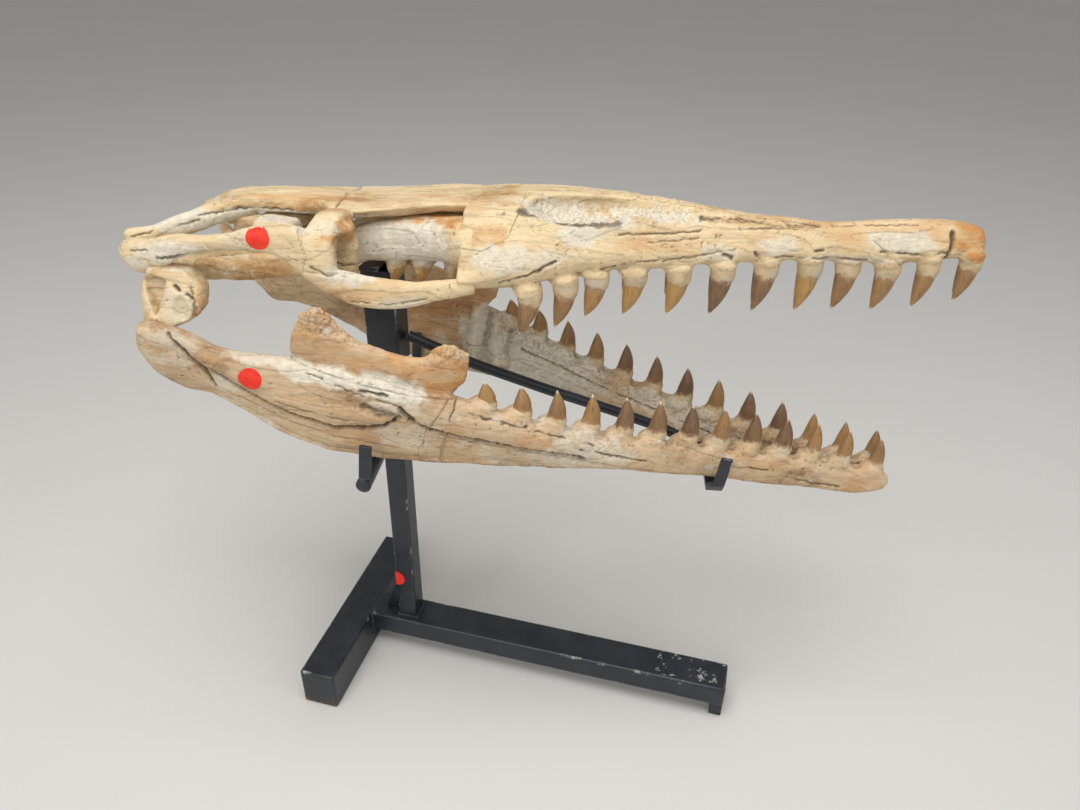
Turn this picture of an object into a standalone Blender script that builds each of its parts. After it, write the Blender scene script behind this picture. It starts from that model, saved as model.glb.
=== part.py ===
"""Mosasaur skull fossil on a black steel stand, at life size.

Metres, +Z up, snout along +X, the animal's right side at -Y. The floor is z = 0 and the
skull's middle plane passes through the stand's post. The cranium and the lower jaw are each
built in their own frame, in millimetres, and then placed: both lean a little, and the lower
jaw hangs open.
"""

import math

import bmesh
import bpy
from mathutils import Matrix, Vector

MM = 0.001
GAP = 0.4  # mm between neighbouring bones

# Where the cranium and the lower jaw stand, in millimetres and degrees.
POST_X = 62.9
CRANIUM_HEIGHT = 430.0
CRANIUM_LEAN = -6.5
JAW_HEIGHT = 330.0
JAW_LEAN = -3.5
JAW_DROP = 12.0
BASE_TURN = -9.73

# Steel sections, in millimetres.
CROSSBAR = (40.0, 236.0, 48.0)
LONG_BAR = (418.0, 39.4, 26.4)
POST_SIDE = 22.0
HEAD_SIDE = 33.0
HEAD_BOTTOM = 392.0
HEAD_TOP = 491.0
TUBE_RADIUS = 7.0

# Teeth in each row.
UPPER_TEETH = 12
LOWER_TEETH = 13
BONE_SIDES = 14
FAR_SAG = 12.0  # mm that the far cheek is pressed down
QUADRATE_LIFT = 13.0  # mm that the far quadrate ends higher
SOCKET_GAP = 1.0  # mm round the quadrate in its socket in the lower jaw
TOOTH_SIDES = 6


def clear_scene():
    for obj in list(bpy.data.objects):
        bpy.data.objects.remove(obj, do_unlink=True)


def new_collection(name, hidden=False):
    made = bpy.data.collections.new(name)
    bpy.context.scene.collection.children.link(made)
    made.hide_render = hidden
    return made


def material(name, colour, roughness, metallic=0.0):
    made = bpy.data.materials.new(name)
    made.use_nodes = True
    shader = made.node_tree.nodes["Principled BSDF"]
    shader.inputs["Base Color"].default_value = (*colour, 1.0)
    shader.inputs["Roughness"].default_value = roughness
    shader.inputs["Metallic"].default_value = metallic
    return made


def placed(height, lean, drop):
    """The frame of the cranium or of the lower jaw."""
    return (
        Matrix.Translation((POST_X, 0.0, height))
        @ Matrix.Rotation(math.radians(lean), 4, "X")
        @ Matrix.Rotation(math.radians(drop), 4, "Y")
    )


CRANIUM = placed(CRANIUM_HEIGHT, CRANIUM_LEAN, 0.0)
JAW = placed(JAW_HEIGHT, JAW_LEAN, JAW_DROP)
WORLD = Matrix.Identity(4)
BASE = Matrix.Translation((POST_X, 0.0, 0.0)) @ Matrix.Rotation(math.radians(BASE_TURN), 4, "Z")


def mesh_object(name, form, frame=WORLD):
    """An object from a bmesh in millimetres, moved into its frame and scaled to metres."""
    bmesh.ops.recalc_face_normals(form, faces=form.faces)
    bmesh.ops.transform(form, matrix=Matrix.Scale(MM, 4) @ frame, verts=form.verts)
    mesh = bpy.data.meshes.new(name)
    form.to_mesh(mesh)
    form.free()
    obj = bpy.data.objects.new(name, mesh)
    cutters.objects.link(obj)
    obj.display_type = "WIRE"
    obj.hide_render = True
    return obj


def box(low, high, frame=WORLD, name="box"):
    form = bmesh.new()
    bmesh.ops.create_cube(form, size=1.0)
    size = [b - a for a, b in zip(low, high)]
    middle = [(a + b) / 2 for a, b in zip(low, high)]
    bmesh.ops.scale(form, vec=size, verts=form.verts)
    bmesh.ops.translate(form, vec=middle, verts=form.verts)
    return mesh_object(name, form, frame)


def join_rings(form, made):
    """The side faces between rings of vertices."""
    for first, second in zip(made, made[1:]):
        for i in range(len(first)):
            j = (i + 1) % len(first)
            form.faces.new((first[i], first[j], second[j], second[i]))


def add_rings(form, rings):
    """Closes a row of rings, all with as many points, into one body."""
    made = [[form.verts.new(point) for point in ring] for ring in rings]
    join_rings(form, made)
    form.faces.new(reversed(made[0]))
    form.faces.new(made[-1])


def rounded(sides, power, turn=0.0):
    """Points of a unit superellipse."""
    points = []
    for i in range(sides):
        angle = 2 * math.pi * (i + 0.5) / sides + turn
        c, s = math.cos(angle), math.sin(angle)
        points.append(
            (
                math.copysign(abs(c) ** (2 / power), c),
                math.copysign(abs(s) ** (2 / power), s),
            )
        )
    return points


def loft(stations, up=(0, 0, 1), sides=BONE_SIDES, power=2.5):
    """Rings along a path: a station is (x, y, z, half width, half height)."""
    centres = [Vector(station[:3]) for station in stations]
    section = rounded(sides, power)
    rings = []
    for i, (_, _, _, wide, high) in enumerate(stations):
        before, after = centres[max(i - 1, 0)], centres[min(i + 1, len(centres) - 1)]
        along = (after - before).normalized()
        across = along.cross(Vector(up)).normalized()
        upward = across.cross(along)
        ring = []
        for a, b in section:
            ring.append(centres[i] + across * wide * a + upward * high * b)
        rings.append(ring)
    form = bmesh.new()
    add_rings(form, rings)
    return form


def upright_loft(stations, sides=BONE_SIDES, power=2.5, taper=0.0):
    """Rings square to X: a station is (x, y, lower z, upper z, half width, foot shift).

    The foot shift, which may be left out, moves the ring's foot along Y. The taper narrows
    each ring's top and widens its foot.
    """
    section = rounded(sides, power)
    rings = []
    for x, y, low, top, wide, *shift in stations:
        middle, high = (low + top) / 2, (top - low) / 2
        foot = shift[0] if shift else 0.0
        ring = []
        for a, b in section:
            across = y + wide * a * (1 - taper * b) + foot * (1 - b) / 2
            ring.append((x, across, middle + high * b))
        rings.append(ring)
    form = bmesh.new()
    add_rings(form, rings)
    return form


def level_loft(stations, sides=BONE_SIDES, power=2.5):
    """Level rings: a station is (x, y, z, half width along Y, half width along X)."""
    section = rounded(sides, power)
    rings = []
    for x, y, z, wide, long in stations:
        rings.append([(x + b * long, y + a * wide, z) for a, b in section])
    form = bmesh.new()
    add_rings(form, rings)
    return form


def between(table, x):
    """Straight-line reading of a short profile ((x, value), ...)."""
    if x <= table[0][0]:
        return table[0][1]
    for (x0, v0), (x1, v1) in zip(table, table[1:]):
        if x <= x1:
            return v0 + (v1 - v0) * (x - x0) / (x1 - x0)
    return table[-1][1]


def tooth(form, root, tip, radius, sink=7.0, back=3.0):
    """A cone with a swollen collar, bent back (towards -X), added to form as a closed body."""
    root, tip = Vector(root), Vector(tip)
    along = tip - root
    length = along.length
    along.normalize()
    across = along.cross(Vector((1, 0, 0))).normalized()
    fore = across.cross(along)
    made = []
    for share, size in ((-sink / length, 0.95), (0.14, 1.0), (0.6, 0.6)):
        bend = Vector((back, 0, 0)) * (4 * max(share, 0) * (1 - max(share, 0)))
        centre = root + along * (length * share) + bend
        ring = []
        for a, b in rounded(TOOTH_SIDES, 2.0):
            point = centre + across * radius * size * 0.85 * a + fore * radius * size * b
            ring.append(form.verts.new(point))
        made.append(ring)
    join_rings(form, made)
    form.faces.new(reversed(made[0]))
    point = form.verts.new(tip)
    for i, vert in enumerate(made[-1]):
        form.faces.new((vert, made[-1][(i + 1) % TOOTH_SIDES], point))


def evaluated(obj):
    """Turns the object's modifiers into its mesh."""
    graph = bpy.context.evaluated_depsgraph_get()
    graph.update()
    mesh = bpy.data.meshes.new_from_object(obj.evaluated_get(graph))
    obj.modifiers.clear()
    obj.data = mesh
    return obj


def boolean(obj, other, operation):
    modifier = obj.modifiers.new(operation.title(), "BOOLEAN")
    modifier.operation = operation
    modifier.solver = "EXACT"
    modifier.object = other
    return evaluated(obj)


def copy_of(obj, name):
    made = obj.copy()
    made.data = obj.data.copy()
    made.name = name
    cutters.objects.link(made)
    return made


def as_part(obj, name, finish, smooth=True):
    """Moves a finished solid into the shown collection under its node name."""
    cutters.objects.unlink(obj)
    model.objects.link(obj)
    obj.name = name
    obj.data.name = name
    obj.hide_render = False
    obj.display_type = "TEXTURED"
    obj.data.materials.clear()
    obj.data.materials.append(finish)
    for face in obj.data.polygons:
        face.use_smooth = smooth
    return obj


def inset(outline, distance):
    """The outline, counter-clockwise, drawn in by a distance."""
    count = len(outline)
    made = []
    for i in range(count):
        p0, p1, p2 = (Vector(outline[(i + k) % count]) for k in (-1, 0, 1))
        d0, d1 = (p1 - p0).normalized(), (p2 - p1).normalized()
        n0, n1 = Vector((-d0.y, d0.x)), Vector((-d1.y, d1.x))
        miter = (n0 + n1).normalized()
        made.append(p1 + miter * (distance / max(miter.dot(n0), 0.3)))
    return made


def prism(outline, low_y, high_y, frame, shrink=GAP / 2):
    """A side-view outline of (x, z) points, drawn in by half a gap and carried across Y."""
    points = inset(outline, shrink)
    form = bmesh.new()
    rings = [[(p.x, y, p.y) for p in points] for y in (low_y, high_y)]
    add_rings(form, rings)
    return mesh_object("prism", form, frame)


def pair(name, make, frame, finish):
    """Two mirrored bones: make(side) gives the form, with side -1 for the right."""
    for side, mark in ((-1, "R"), (1, "L")):
        obj = mesh_object(name, make(side), frame)
        as_part(obj, f"{name}_{mark}", finish)


# ---- Cranium ---------------------------------------------------------------------------

SNOUT = (
    # x, half width, lower z, upper z
    (85, 84, 57, 132),
    (118, 77, 58, 136),
    (150, 68, 62, 137),
    (182, 57, 71, 136.5),
    (215, 49, 75, 135),
    (250, 41, 76, 132),
    (290, 33, 79, 127),
    (340, 25.5, 85, 121.5),
    (400, 19.5, 88, 118.5),
    (450, 17, 87, 123),
    (490, 16, 91, 125.5),
    (512, 13.5, 95, 124),
    (525, 9.5, 99, 120.5),
    (531, 4, 106, 115),
)
UPPER_TOOTH_X = ((0, 138), (1, 168), (2, 194), (3, 227), (5, 304), (7, 380), (8, 413), (11, 516))
FAR_TOOTH_SHIFT = ((0, -13), (1, -7), (3, 0), (5, 4), (11, 6))
UPPER_TOOTH_LENGTH = (
    (132, 40),
    (165, 43),
    (195, 39),
    (265, 43),
    (304, 47),
    (380, 49),
    (450, 45),
    (512, 42),
)


def snout_width(x):
    return between([(s[0], s[1]) for s in SNOUT], x)


def snout_floor(x):
    return between([(s[0], s[2]) for s in SNOUT], x)


def upper_teeth():
    form = bmesh.new()
    for side in (-1, 1):
        for i in range(UPPER_TEETH):
            x = between(UPPER_TOOTH_X, i)
            if side > 0:
                x += between(FAR_TOOTH_SHIFT, i)
            y = side * max(snout_width(x) - 9.5, 8.8)
            z = snout_floor(x) + 1.5
            length = between(UPPER_TOOTH_LENGTH, x)
            radius = 11.5 if i < UPPER_TEETH - 2 else 10
            tooth(form, (x + 3, y, z), (x - 4, y, z - length), radius)
    return form


def make_snout():
    """Premaxilla, maxillae and prefrontals are one block with its teeth, cut along the sutures."""
    stations = [(x, 0, low, top, wide) for x, wide, low, top in SNOUT]
    form = upright_loft(stations, sides=14, power=2.6, taper=0.27)
    snout = mesh_object("snout", form, CRANIUM)
    boolean(snout, mesh_object("teeth", upper_teeth(), CRANIUM), "UNION")
    for side in (-1, 1):
        trough = (
            (129, side * 45, 136, 4, 8),
            (150, side * 36, 131, 13, 13),
            (172, side * 28, 127, 16, 14),
            (216, side * 23, 130, 13, 13),
            (258, side * 17.5, 132, 8, 11),
            (292, side * 13, 132, 3, 6),
        )
        naris = mesh_object("naris", loft(trough, sides=10, power=2.0), CRANIUM)
        boolean(snout, naris, "DIFFERENCE")

    far = 700
    behind = [(0, -far), (468, -far), (468, 82), (400, 132), (400, far), (0, far)]
    waste = prism(behind, -300, 300, CRANIUM, -GAP / 2)
    boolean(waste, box((112, -8, 112), (480, 8, 300), CRANIUM), "DIFFERENCE")
    front = copy_of(snout, "front")
    boolean(front, waste, "DIFFERENCE")
    as_part(front, "premaxilla", bone)
    for side, mark in ((-1, "R"), (1, "L")):
        near, away = sorted((side * GAP / 2, side * 300))
        rest = copy_of(snout, "rest")
        boolean(rest, prism(behind, near, away, CRANIUM), "INTERSECT")
        lip = box((111.6, -8.4, 111.6), (470, 8.4, 300), CRANIUM)
        boolean(rest, lip, "DIFFERENCE")
        brow = copy_of(rest, "brow")
        edge = [(0, 98), (102, 98), (124, 108), (134, 160), (0, 160)]
        boolean(brow, prism(edge, -300, 300, CRANIUM), "INTERSECT")
        as_part(brow, f"prefrontal_{mark}", bone)
        cheek = [(0, -far), (far, -far), (far, 160), (134, 160), (124, 108), (102, 98), (0, 98)]
        boolean(rest, prism(cheek, -300, 300, CRANIUM), "INTERSECT")
        as_part(rest, f"maxilla_{mark}", bone)


def make_roof():
    frontal = (
        (-27, 0, 108, 123, 49),
        (0, 0, 110, 124, 48.5),
        (30, 0, 112, 127, 42.5),
        (60, 0, 116, 130, 39),
        (84.6, 0, 117, 131, 38),
    )
    form = upright_loft(frontal, power=3.2, taper=-0.2)
    as_part(mesh_object("frontal", form, CRANIUM), "frontal", bone)
    table = (
        (-132, 0, 108, 121, 22),
        (-110, 0, 106.4, 124, 24),
        (-70, 0, 107, 125, 26),
        (-40, 0, 108, 125, 34),
        (-27.4, 0, 108, 123, 48),
    )
    parietal = mesh_object("parietal", upright_loft(table, power=3.2), CRANIUM)
    for side in (-1, 1):
        ramus = [
            (-112, side * 14, 115, 8, 8),
            (-135, side * 28, 109, 8, 9.5),
            (-160, side * 43, 101, 7.5, 9.5),
            (-186, side * 56, 92, 7, 8),
            (-209, side * 67, 91, 5, 6.5),
        ]
        if side > 0:
            ramus[-2:] = [(-180, side * 53, 91, 7, 8), (-192, side * 58, 86, 6, 7)]
        arm = mesh_object("arm", loft(ramus, sides=8), CRANIUM)
        boolean(parietal, arm, "UNION")
    as_part(parietal, "parietal", bone)


def arch(side, extra=0.0):
    """The form, with every half size made larger by the extra."""
    sag = FAR_SAG if side > 0 else 0
    stations = (
        (-202, side * 80, 91, 7, 8),
        (-195, side * 82, 84, 9, 14),
        (-184, side * 85, 81, 10, 15),
        (-168, side * 90, 85, 9, 13),
        (-150, side * 93, 94, 8, 9.5),
        (-128, side * 94, 98, 7, 6.5),
        (-104, side * 94, 100, 7, 7),
        (-80, side * 93, 104 - sag / 2, 7, 10.5),
        (-52, side * 93, 105 - sag, 7.5, 12),
        (-42, side * 93, 104 - sag, 8, 14),
    )
    grown = [(x, y, z, wide + extra, high + extra) for x, y, z, wide, high in stations]
    return loft(grown, sides=8)


def make_postorbitals():
    """A plate behind the orbit, bent inward at the top, with a rounded lump on its inner side."""
    for side, mark in ((-1, "R"), (1, "L")):
        sag = FAR_SAG if side > 0 else 0
        plate = (
            (-27.6, side * 93, 80, 7, 13),
            (-27.6, side * 93, 90, 7.5, 13.4),
            (-27, side * 92, 104 - sag / 2, 8, 13.4),
            (-26, side * 84, 114 - sag, 8, 13),
            (-24, side * 70, 117 - sag, 7, 12),
            (-22, side * 55.5, 116 - sag / 2, 6, 12),
        )
        lump = (
            (-17, side * 62, 70 - sag, 4, 5),
            (-16, side * 62, 80 - sag, 6, 10),
            (-15, side * 62, 95 - sag, 6.5, 10.5),
            (-15, side * 63, 114 - sag, 5, 7),
        )
        form = loft(plate, up=(1, 0, 0), sides=10, power=3.0)
        made = mesh_object("postorbital", form, CRANIUM)
        form = loft(lump, up=(1, 0, 0), sides=8, power=2.0)
        boolean(made, mesh_object("lump", form, CRANIUM), "UNION")
        as_part(made, f"postorbital_{mark}", bone)


def jugal(side):
    stations = (
        (-39, side * 93, 73, 79.6, 5),
        (-32, side * 93, 66, 79.6, 6),
        (-20, side * 93, 59, 79.6, 6.5),
        (-6, side * 93, 53, 79.6, 6.5),
        (12, side * 93, 49, 77.5, 6.5),
        (30, side * 92, 49.5, 74, 6.5),
        (52, side * 90, 53, 72.5, 6),
        (74, side * 86, 57, 75, 6),
        (84.4, side * 83, 58.5, 77, 6),
    )
    return upright_loft(stations, sides=8)


def quadrate(side, extra=0.0):
    """The form, with every half size made larger and the foot made longer by the extra."""
    lift = QUADRATE_LIFT if side > 0 else 0
    stations = (
        (-172, side * 101, 17 + lift, 8, 7),
        (-173, side * 100, 24 + lift * 0.8, 12, 12),
        (-160, side * 97, 34 + lift * 0.6, 14, 22),
        (-156, side * 95, 46 + lift * 0.3, 14, 27),
        (-155, side * 93, 60, 14, 27),
        (-156, side * 91, 66, 13, 23),
        (-162, side * 91, 74, 9, 15),
    )
    grown = [(x, y, z, wide + extra, high + extra) for x, y, z, wide, high in stations]
    grown[0] = (*grown[0][:2], grown[0][2] - extra, *grown[0][3:])
    return level_loft(grown, sides=10)


def make_quadrates():
    for side, mark in ((-1, "R"), (1, "L")):
        made = mesh_object("quadrate", quadrate(side), CRANIUM)
        pocket = [(-178, 68), (-174, 52), (-168, 36), (-160, 52), (-157, 68)]
        near, away = sorted((side * 99, side * 130))
        boolean(made, prism(pocket, near, away, CRANIUM), "DIFFERENCE")
        boolean(made, mesh_object("seat", arch(side, GAP), CRANIUM), "DIFFERENCE")
        as_part(made, f"quadrate_{mark}", bone)


def make_braincase():
    core = (
        (-176, 0, 54, 74, 16),
        (-166, 0, 50, 77, 26),
        (-124, 0, 48, 78, 28),
        (-112, 0, 47, 101, 24),
        (-96, 0, 47, 105.6, 22),
        (-72, 0, 52, 105.6, 20),
        (-50, 0, 60, 84, 14),
    )
    braincase = mesh_object("braincase", upright_loft(core, sides=10, power=3.0), CRANIUM)
    condyle = bmesh.new()
    bmesh.ops.create_uvsphere(condyle, u_segments=10, v_segments=6, radius=13)
    bmesh.ops.translate(condyle, vec=(-182, 0, 60), verts=condyle.verts)
    boolean(braincase, mesh_object("condyle", condyle, CRANIUM), "UNION")
    for side in (-1, 1):
        wing = (
            (-150, side * 16, 62, 7, 9),
            (-164, side * 44, 63, 6, 8),
            (-178, side * 64, 67, 5, 7),
            (-185, side * 73, 70, 4, 6),
        )
        form = loft(wing, sides=8)
        boolean(braincase, mesh_object("wing", form, CRANIUM), "UNION")
        wall = (
            (-104, side * 34, 86, 105, 12),
            (-97, side * 33, 80, 105.5, 19),
            (-84, side * 33, 80, 105.5, 19),
            (-64, side * 35, 82, 105, 15),
        )
        form = upright_loft(wall, sides=10, power=3.0)
        boolean(braincase, mesh_object("wall", form, CRANIUM), "UNION")
    as_part(braincase, "braincase", bone)


PTERYGOID_TEETH = ((16, 50), (40, 51), (68, 56))


def make_pterygoids():
    for side, mark in ((-1, "R"), (1, "L")):
        stations = (
            (-150, side * 70, 66, 5, 8),
            (-138, side * 62, 66, 6, 10),
            (-104, side * 50, 66, 7, 11),
            (-66, side * 42, 69, 7, 12),
            (-34, side * 36, 76, 8, 14),
            (-8, side * 30, 85, 10, 14),
            (34, side * 28, 91, 13, 18),
            (60, side * 31, 94, 18, 18.5),
            (75, side * 36, 96.5, 24, 18.5),
        )
        form = loft(stations, sides=8)
        pterygoid = mesh_object("pterygoid", form, CRANIUM)
        teeth = bmesh.new()
        for x, tip in PTERYGOID_TEETH:
            y = side * 29
            tooth(teeth, (x + 3, y, 76), (x - 2, y, tip), 9, sink=5)
        boolean(pterygoid, mesh_object("teeth", teeth, CRANIUM), "UNION")
        as_part(pterygoid, f"pterygoid_{mark}", bone)


# ---- Lower jaw -------------------------------------------------------------------------

RAMUS = (
    # x, lower z, upper z, half width, inward shift of the foot
    (-207, 75, 98, 7, 4),
    (-192, 52, 103, 11, 8),
    (-166, 39, 100, 14, 15),
    (-142, 43, 90, 14, 11),
    (-107, 35, 95, 12, 5),
    (-76, 23.5, 99, 11, 0),
    (-34, 13, 99, 11, 4),
    (6, 13, 98, 11, 9),
    (63, 18.5, 94, 12, 10),
    (106, 25, 88, 13, 8),
    (150, 31, 79.5, 12.5, 2),
    (226, 38.5, 73, 12, -1),
    (314, 38, 72, 11, 0),
    (372, 38, 72, 10, -1),
    (430, 41.5, 75, 9, -1),
    (470, 45.5, 77.5, 8.2, 0),
    (489, 54, 76, 7, 0),
    (497, 60, 71, 4, 0),
)
JAW_ROW = (
    # x, distance of the tooth row from the middle plane
    (-207, 116),
    (-100, 115),
    (20, 107),
    (90, 96.5),
    (147, 81),
    (212, 60.5),
    (277, 40.5),
    (338, 24),
    (405, 11),
    (441, 7.8),
)
ROW_INSET = 4.0  # mm from the tooth row out to the middle of the bone
LOWER_TOOTH_X = ((0, 88), (12, 473))
LOWER_TIP_Z = 112.0
CORONOID = (
    (-79, 100, 124, 4),
    (-70, 94, 146, 5),
    (-57, 92, 150.5, 5),
    (-44, 90, 138, 5),
    (-27, 88, 127, 6),
    (8, 86, 121.5, 6.5),
    (32, 87, 124, 6.5),
    (48, 90, 141.5, 6),
    (60, 92, 139.5, 5),
    (71, 110, 132, 3.5),
)


def lower_teeth(form, side):
    tops = [(station[0], station[2]) for station in RAMUS]
    for i in range(LOWER_TEETH):
        x = between(LOWER_TOOTH_X, i)
        row = between(JAW_ROW, x)
        radius = 10.5 if row > 12 else 9.0
        y = side * max(row, 8.4)
        root = (x + 2, y, between(tops, x) - 1.5)
        tooth(form, root, (x - 2, y, LOWER_TIP_Z), radius)


def ramus_whole(side):
    stations = []
    for x, low, top, wide, tuck in RAMUS:
        y = between(JAW_ROW, x) + min(ROW_INSET, between(JAW_ROW, x) / 10)
        stations.append((x, side * y, low, top, wide, -side * tuck))
    form = upright_loft(stations, sides=10, power=2.6)
    ramus = mesh_object("ramus", form, JAW)
    crest = [(x, side * between(JAW_ROW, x), low, top, wide) for x, low, top, wide in CORONOID]
    form = upright_loft(crest, sides=8, power=2.6)
    boolean(ramus, mesh_object("crest", form, JAW), "UNION")
    teeth = bmesh.new()
    lower_teeth(teeth, side)
    boolean(ramus, mesh_object("teeth", teeth, JAW), "UNION")
    socket = mesh_object("socket", quadrate(side, SOCKET_GAP), CRANIUM)
    return boolean(ramus, socket, "DIFFERENCE")


# The sutures of the lower jaw, in side view, as (x, z) points.
CREST_LINE = [(-88, 102), (-60, 97), (-20, 92), (30, 91), (60, 93), (77, 96)]
HINGE_LINE = [(-184, 130), (-178, 96), (-149, 72), (-136, 58)]
ANGULAR_LINE = [(-136, 58), (-105, 50), (-64, 39), (-30, 33), (44, 30)]
JOINT_LINE = [(44, 30), (47, 56), (56, 80), (60, 93)]
SPLENIAL_LINE = [(47, 56), (71, 54), (124, 52), (172, 50), (285, 42)]
LOW, HIGH, REAR, FRONT = -60, 200, -260, 560


def jaw_regions():
    return {
        "coronoid": CREST_LINE + [(84, HIGH), (-88, HIGH)],
        "articular": [(REAR, LOW), (-136, LOW)] + HINGE_LINE[::-1] + [(REAR, 130)],
        "angular": [(-136, LOW), (44, LOW)] + ANGULAR_LINE[::-1],
        "surangular": ANGULAR_LINE + JOINT_LINE[1:] + CREST_LINE[-3::-1] + [(-88, 130)] + HINGE_LINE[:3],
        "splenial": [(44, LOW), (285, LOW)] + SPLENIAL_LINE[::-1] + [(44, 30)],
        "dentary": [(285, LOW), (FRONT, LOW), (FRONT, HIGH), (84, HIGH), (77, 96)]
        + [(60, 93), (56, 80)]
        + SPLENIAL_LINE,
    }


def make_jaw():
    for side, mark in ((-1, "R"), (1, "L")):
        whole = ramus_whole(side)
        near, away = sorted((side * GAP / 2, side * 300))
        for name, outline in jaw_regions().items():
            piece = copy_of(whole, name)
            boolean(piece, prism(outline, near, away, JAW), "INTERSECT")
            as_part(piece, f"{name}_{mark}", jaw_bone)


# ---- Stand -----------------------------------------------------------------------------


def steel(name, obj, edge=1.2, smooth=False, steps=1):
    if edge:
        bevel = obj.modifiers.new("Bevel", "BEVEL")
        bevel.width = edge * MM
        bevel.segments = steps
        bevel.limit_method = "ANGLE"
        evaluated(obj)
    return as_part(obj, f"stand_{name}", paint, smooth)


def rod(points, radius, sides=12):
    return loft([(*p, radius, radius) for p in points], sides=sides, power=2.0)


def make_stand():
    gap = 0.3
    wide, long, tall = CROSSBAR
    bar_long, bar_wide, bar_tall = LONG_BAR
    inner = -43.3
    front = -121.3
    crossbar = box((inner - wide, front, 0), (inner, front + long, tall), BASE)
    steel("crossbar", crossbar, 2.5, steps=2)
    low = (inner + gap, -19.6, tall - bar_tall)
    end = inner + bar_long
    steel("long_bar", box(low, (end, -19.6 + bar_wide, tall), BASE), 2.5, steps=2)
    foot = box((end - 14, -14.6, 0), (end, -19.6 + bar_wide, tall - bar_tall - gap), BASE)
    steel("foot", foot, 1.0)
    half = POST_SIDE / 2
    post = box((-half, -half, tall + gap), (half, half, HEAD_BOTTOM), BASE)
    steel("post", post, 1.6)
    half = HEAD_SIDE / 2
    head = box((-half, -half + 3, HEAD_BOTTOM + gap), (half, half - 3, HEAD_TOP), BASE)
    steel("head", head, 1.6)
    brace = bmesh.new()
    outline = ((-11.3, 48.3), (-11.3, 92), (-14, 92), (-30, 51.5), (-30, 48.3))
    add_rings(brace, [[(x, y, z) for x, z in outline] for y in (-2, 2)])
    steel("brace", mesh_object("brace", brace, BASE), 0.0)
    steel("top_plate", box((-13, -38, 63.6), (4.5, 38, 67.6), CRANIUM), 0.6)


def make_jaw_supports():
    """A round cross tube at the post and a flat strip at the front carry the lower jaw."""
    near, away = (66, -133, 335), (66, 133, 319.5)
    side = POST_SIDE / 2 + 0.3
    clear = box((-side, -side, 200), (side, side, 480), BASE)
    centre = tuple((a + b) / 2 for a, b in zip(near, away))
    for mark, end in (("R", near), ("L", away)):
        tube = mesh_object("tube", rod([end, centre], TUBE_RADIUS, 14))
        boolean(tube, clear, "DIFFERENCE")
        steel(f"cross_tube_{mark}", tube, 0.0, smooth=True)
    tab("tube_tab_R", (68, -130.0, 342.3), 11, 36, 3, tilt=6)
    tab("tube_tab_L", (66, 92, 330), 10, 44, 3, tilt=4)

    strip = bmesh.new()
    ends = [
        (387, -60, 311, 8, 2.5),
        (387, -51, 298.7, 8, 2.5),
        (387, 51, 292.2, 8, 2.5),
        (387, 60, 304, 8, 2.5),
    ]
    add_rings(strip, strip_rings(ends))
    steel("front_strip", mesh_object("strip", strip), 0.8)
    tab("strip_tab_R", (389, -62.0, 313), 11, 30, 3, tilt=8)
    tab("strip_tab_L", (389, 62.0, 306), 11, 28, 3, tilt=8)
    line = [(83, 0, 419.5), (144, 0, 393), (219, 0, 368), (290, 0, 347), (340, 0, 330), (386, 0, 304)]
    steel("rod", mesh_object("rod", rod(line, 5.2, 8)), 0.0, smooth=True)


def strip_rings(ends):
    """Two oblong rings across a flat bar that runs along Y."""
    rings = []
    for x, y, z, wide, high in ends:
        rings.append([(x + a * wide, y, z + b * high) for a, b in ((-1, -1), (1, -1), (1, 1), (-1, 1))])
    return rings


def tab(name, foot, wide, tall, thick, tilt):
    """A small upright plate whose top leans forward by the tilt."""
    form = bmesh.new()
    bmesh.ops.create_cube(form, size=1.0)
    bmesh.ops.scale(form, vec=(wide, thick, tall), verts=form.verts)
    bmesh.ops.translate(form, vec=(0, 0, tall / 2), verts=form.verts)
    turn = Matrix.Translation(foot) @ Matrix.Rotation(math.radians(tilt), 4, "Y")
    steel(name, mesh_object(name, form, turn), 0.6)


clear_scene()
model = new_collection("mosasaur_skull_on_stand")
cutters = new_collection("cutters", hidden=True)
bone = material("fossil_bone", (0.72, 0.55, 0.35), 0.7)
jaw_bone = material("jaw_bone", (0.66, 0.47, 0.33), 0.7)
paint = material("black_paint", (0.02, 0.022, 0.026), 0.4)
make_snout()
make_roof()
pair("temporal_arch", arch, CRANIUM, bone)
make_postorbitals()
pair("jugal", jugal, CRANIUM, bone)
make_quadrates()
make_braincase()
make_pterygoids()
make_jaw()
make_stand()
make_jaw_supports()
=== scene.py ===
"""Dresses the mosasaur skull on its steel stand: fossil bone, teeth, painted steel, stickers and stage."""

import math

import bmesh
import bpy
import numpy as np
from mathutils import Matrix, Vector
from mathutils.bvhtree import BVHTree


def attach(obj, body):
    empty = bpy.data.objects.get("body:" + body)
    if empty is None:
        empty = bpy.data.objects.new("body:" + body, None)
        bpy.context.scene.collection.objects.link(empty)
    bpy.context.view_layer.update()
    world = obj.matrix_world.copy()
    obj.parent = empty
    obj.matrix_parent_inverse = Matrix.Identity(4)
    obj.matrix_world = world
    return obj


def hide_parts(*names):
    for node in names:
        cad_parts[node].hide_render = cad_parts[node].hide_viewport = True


bl_info = {
    "name": "Mounted Mosasaur Skull",
    "version": (1, 0, 0),
    "blender": (4, 5, 0),
    "location": "3D View > Sidebar > Mosasaur",
    "description": "Builds the bones, teeth and steel stand of a mounted mosasaur skull",
    "category": "Object",
}

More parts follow.
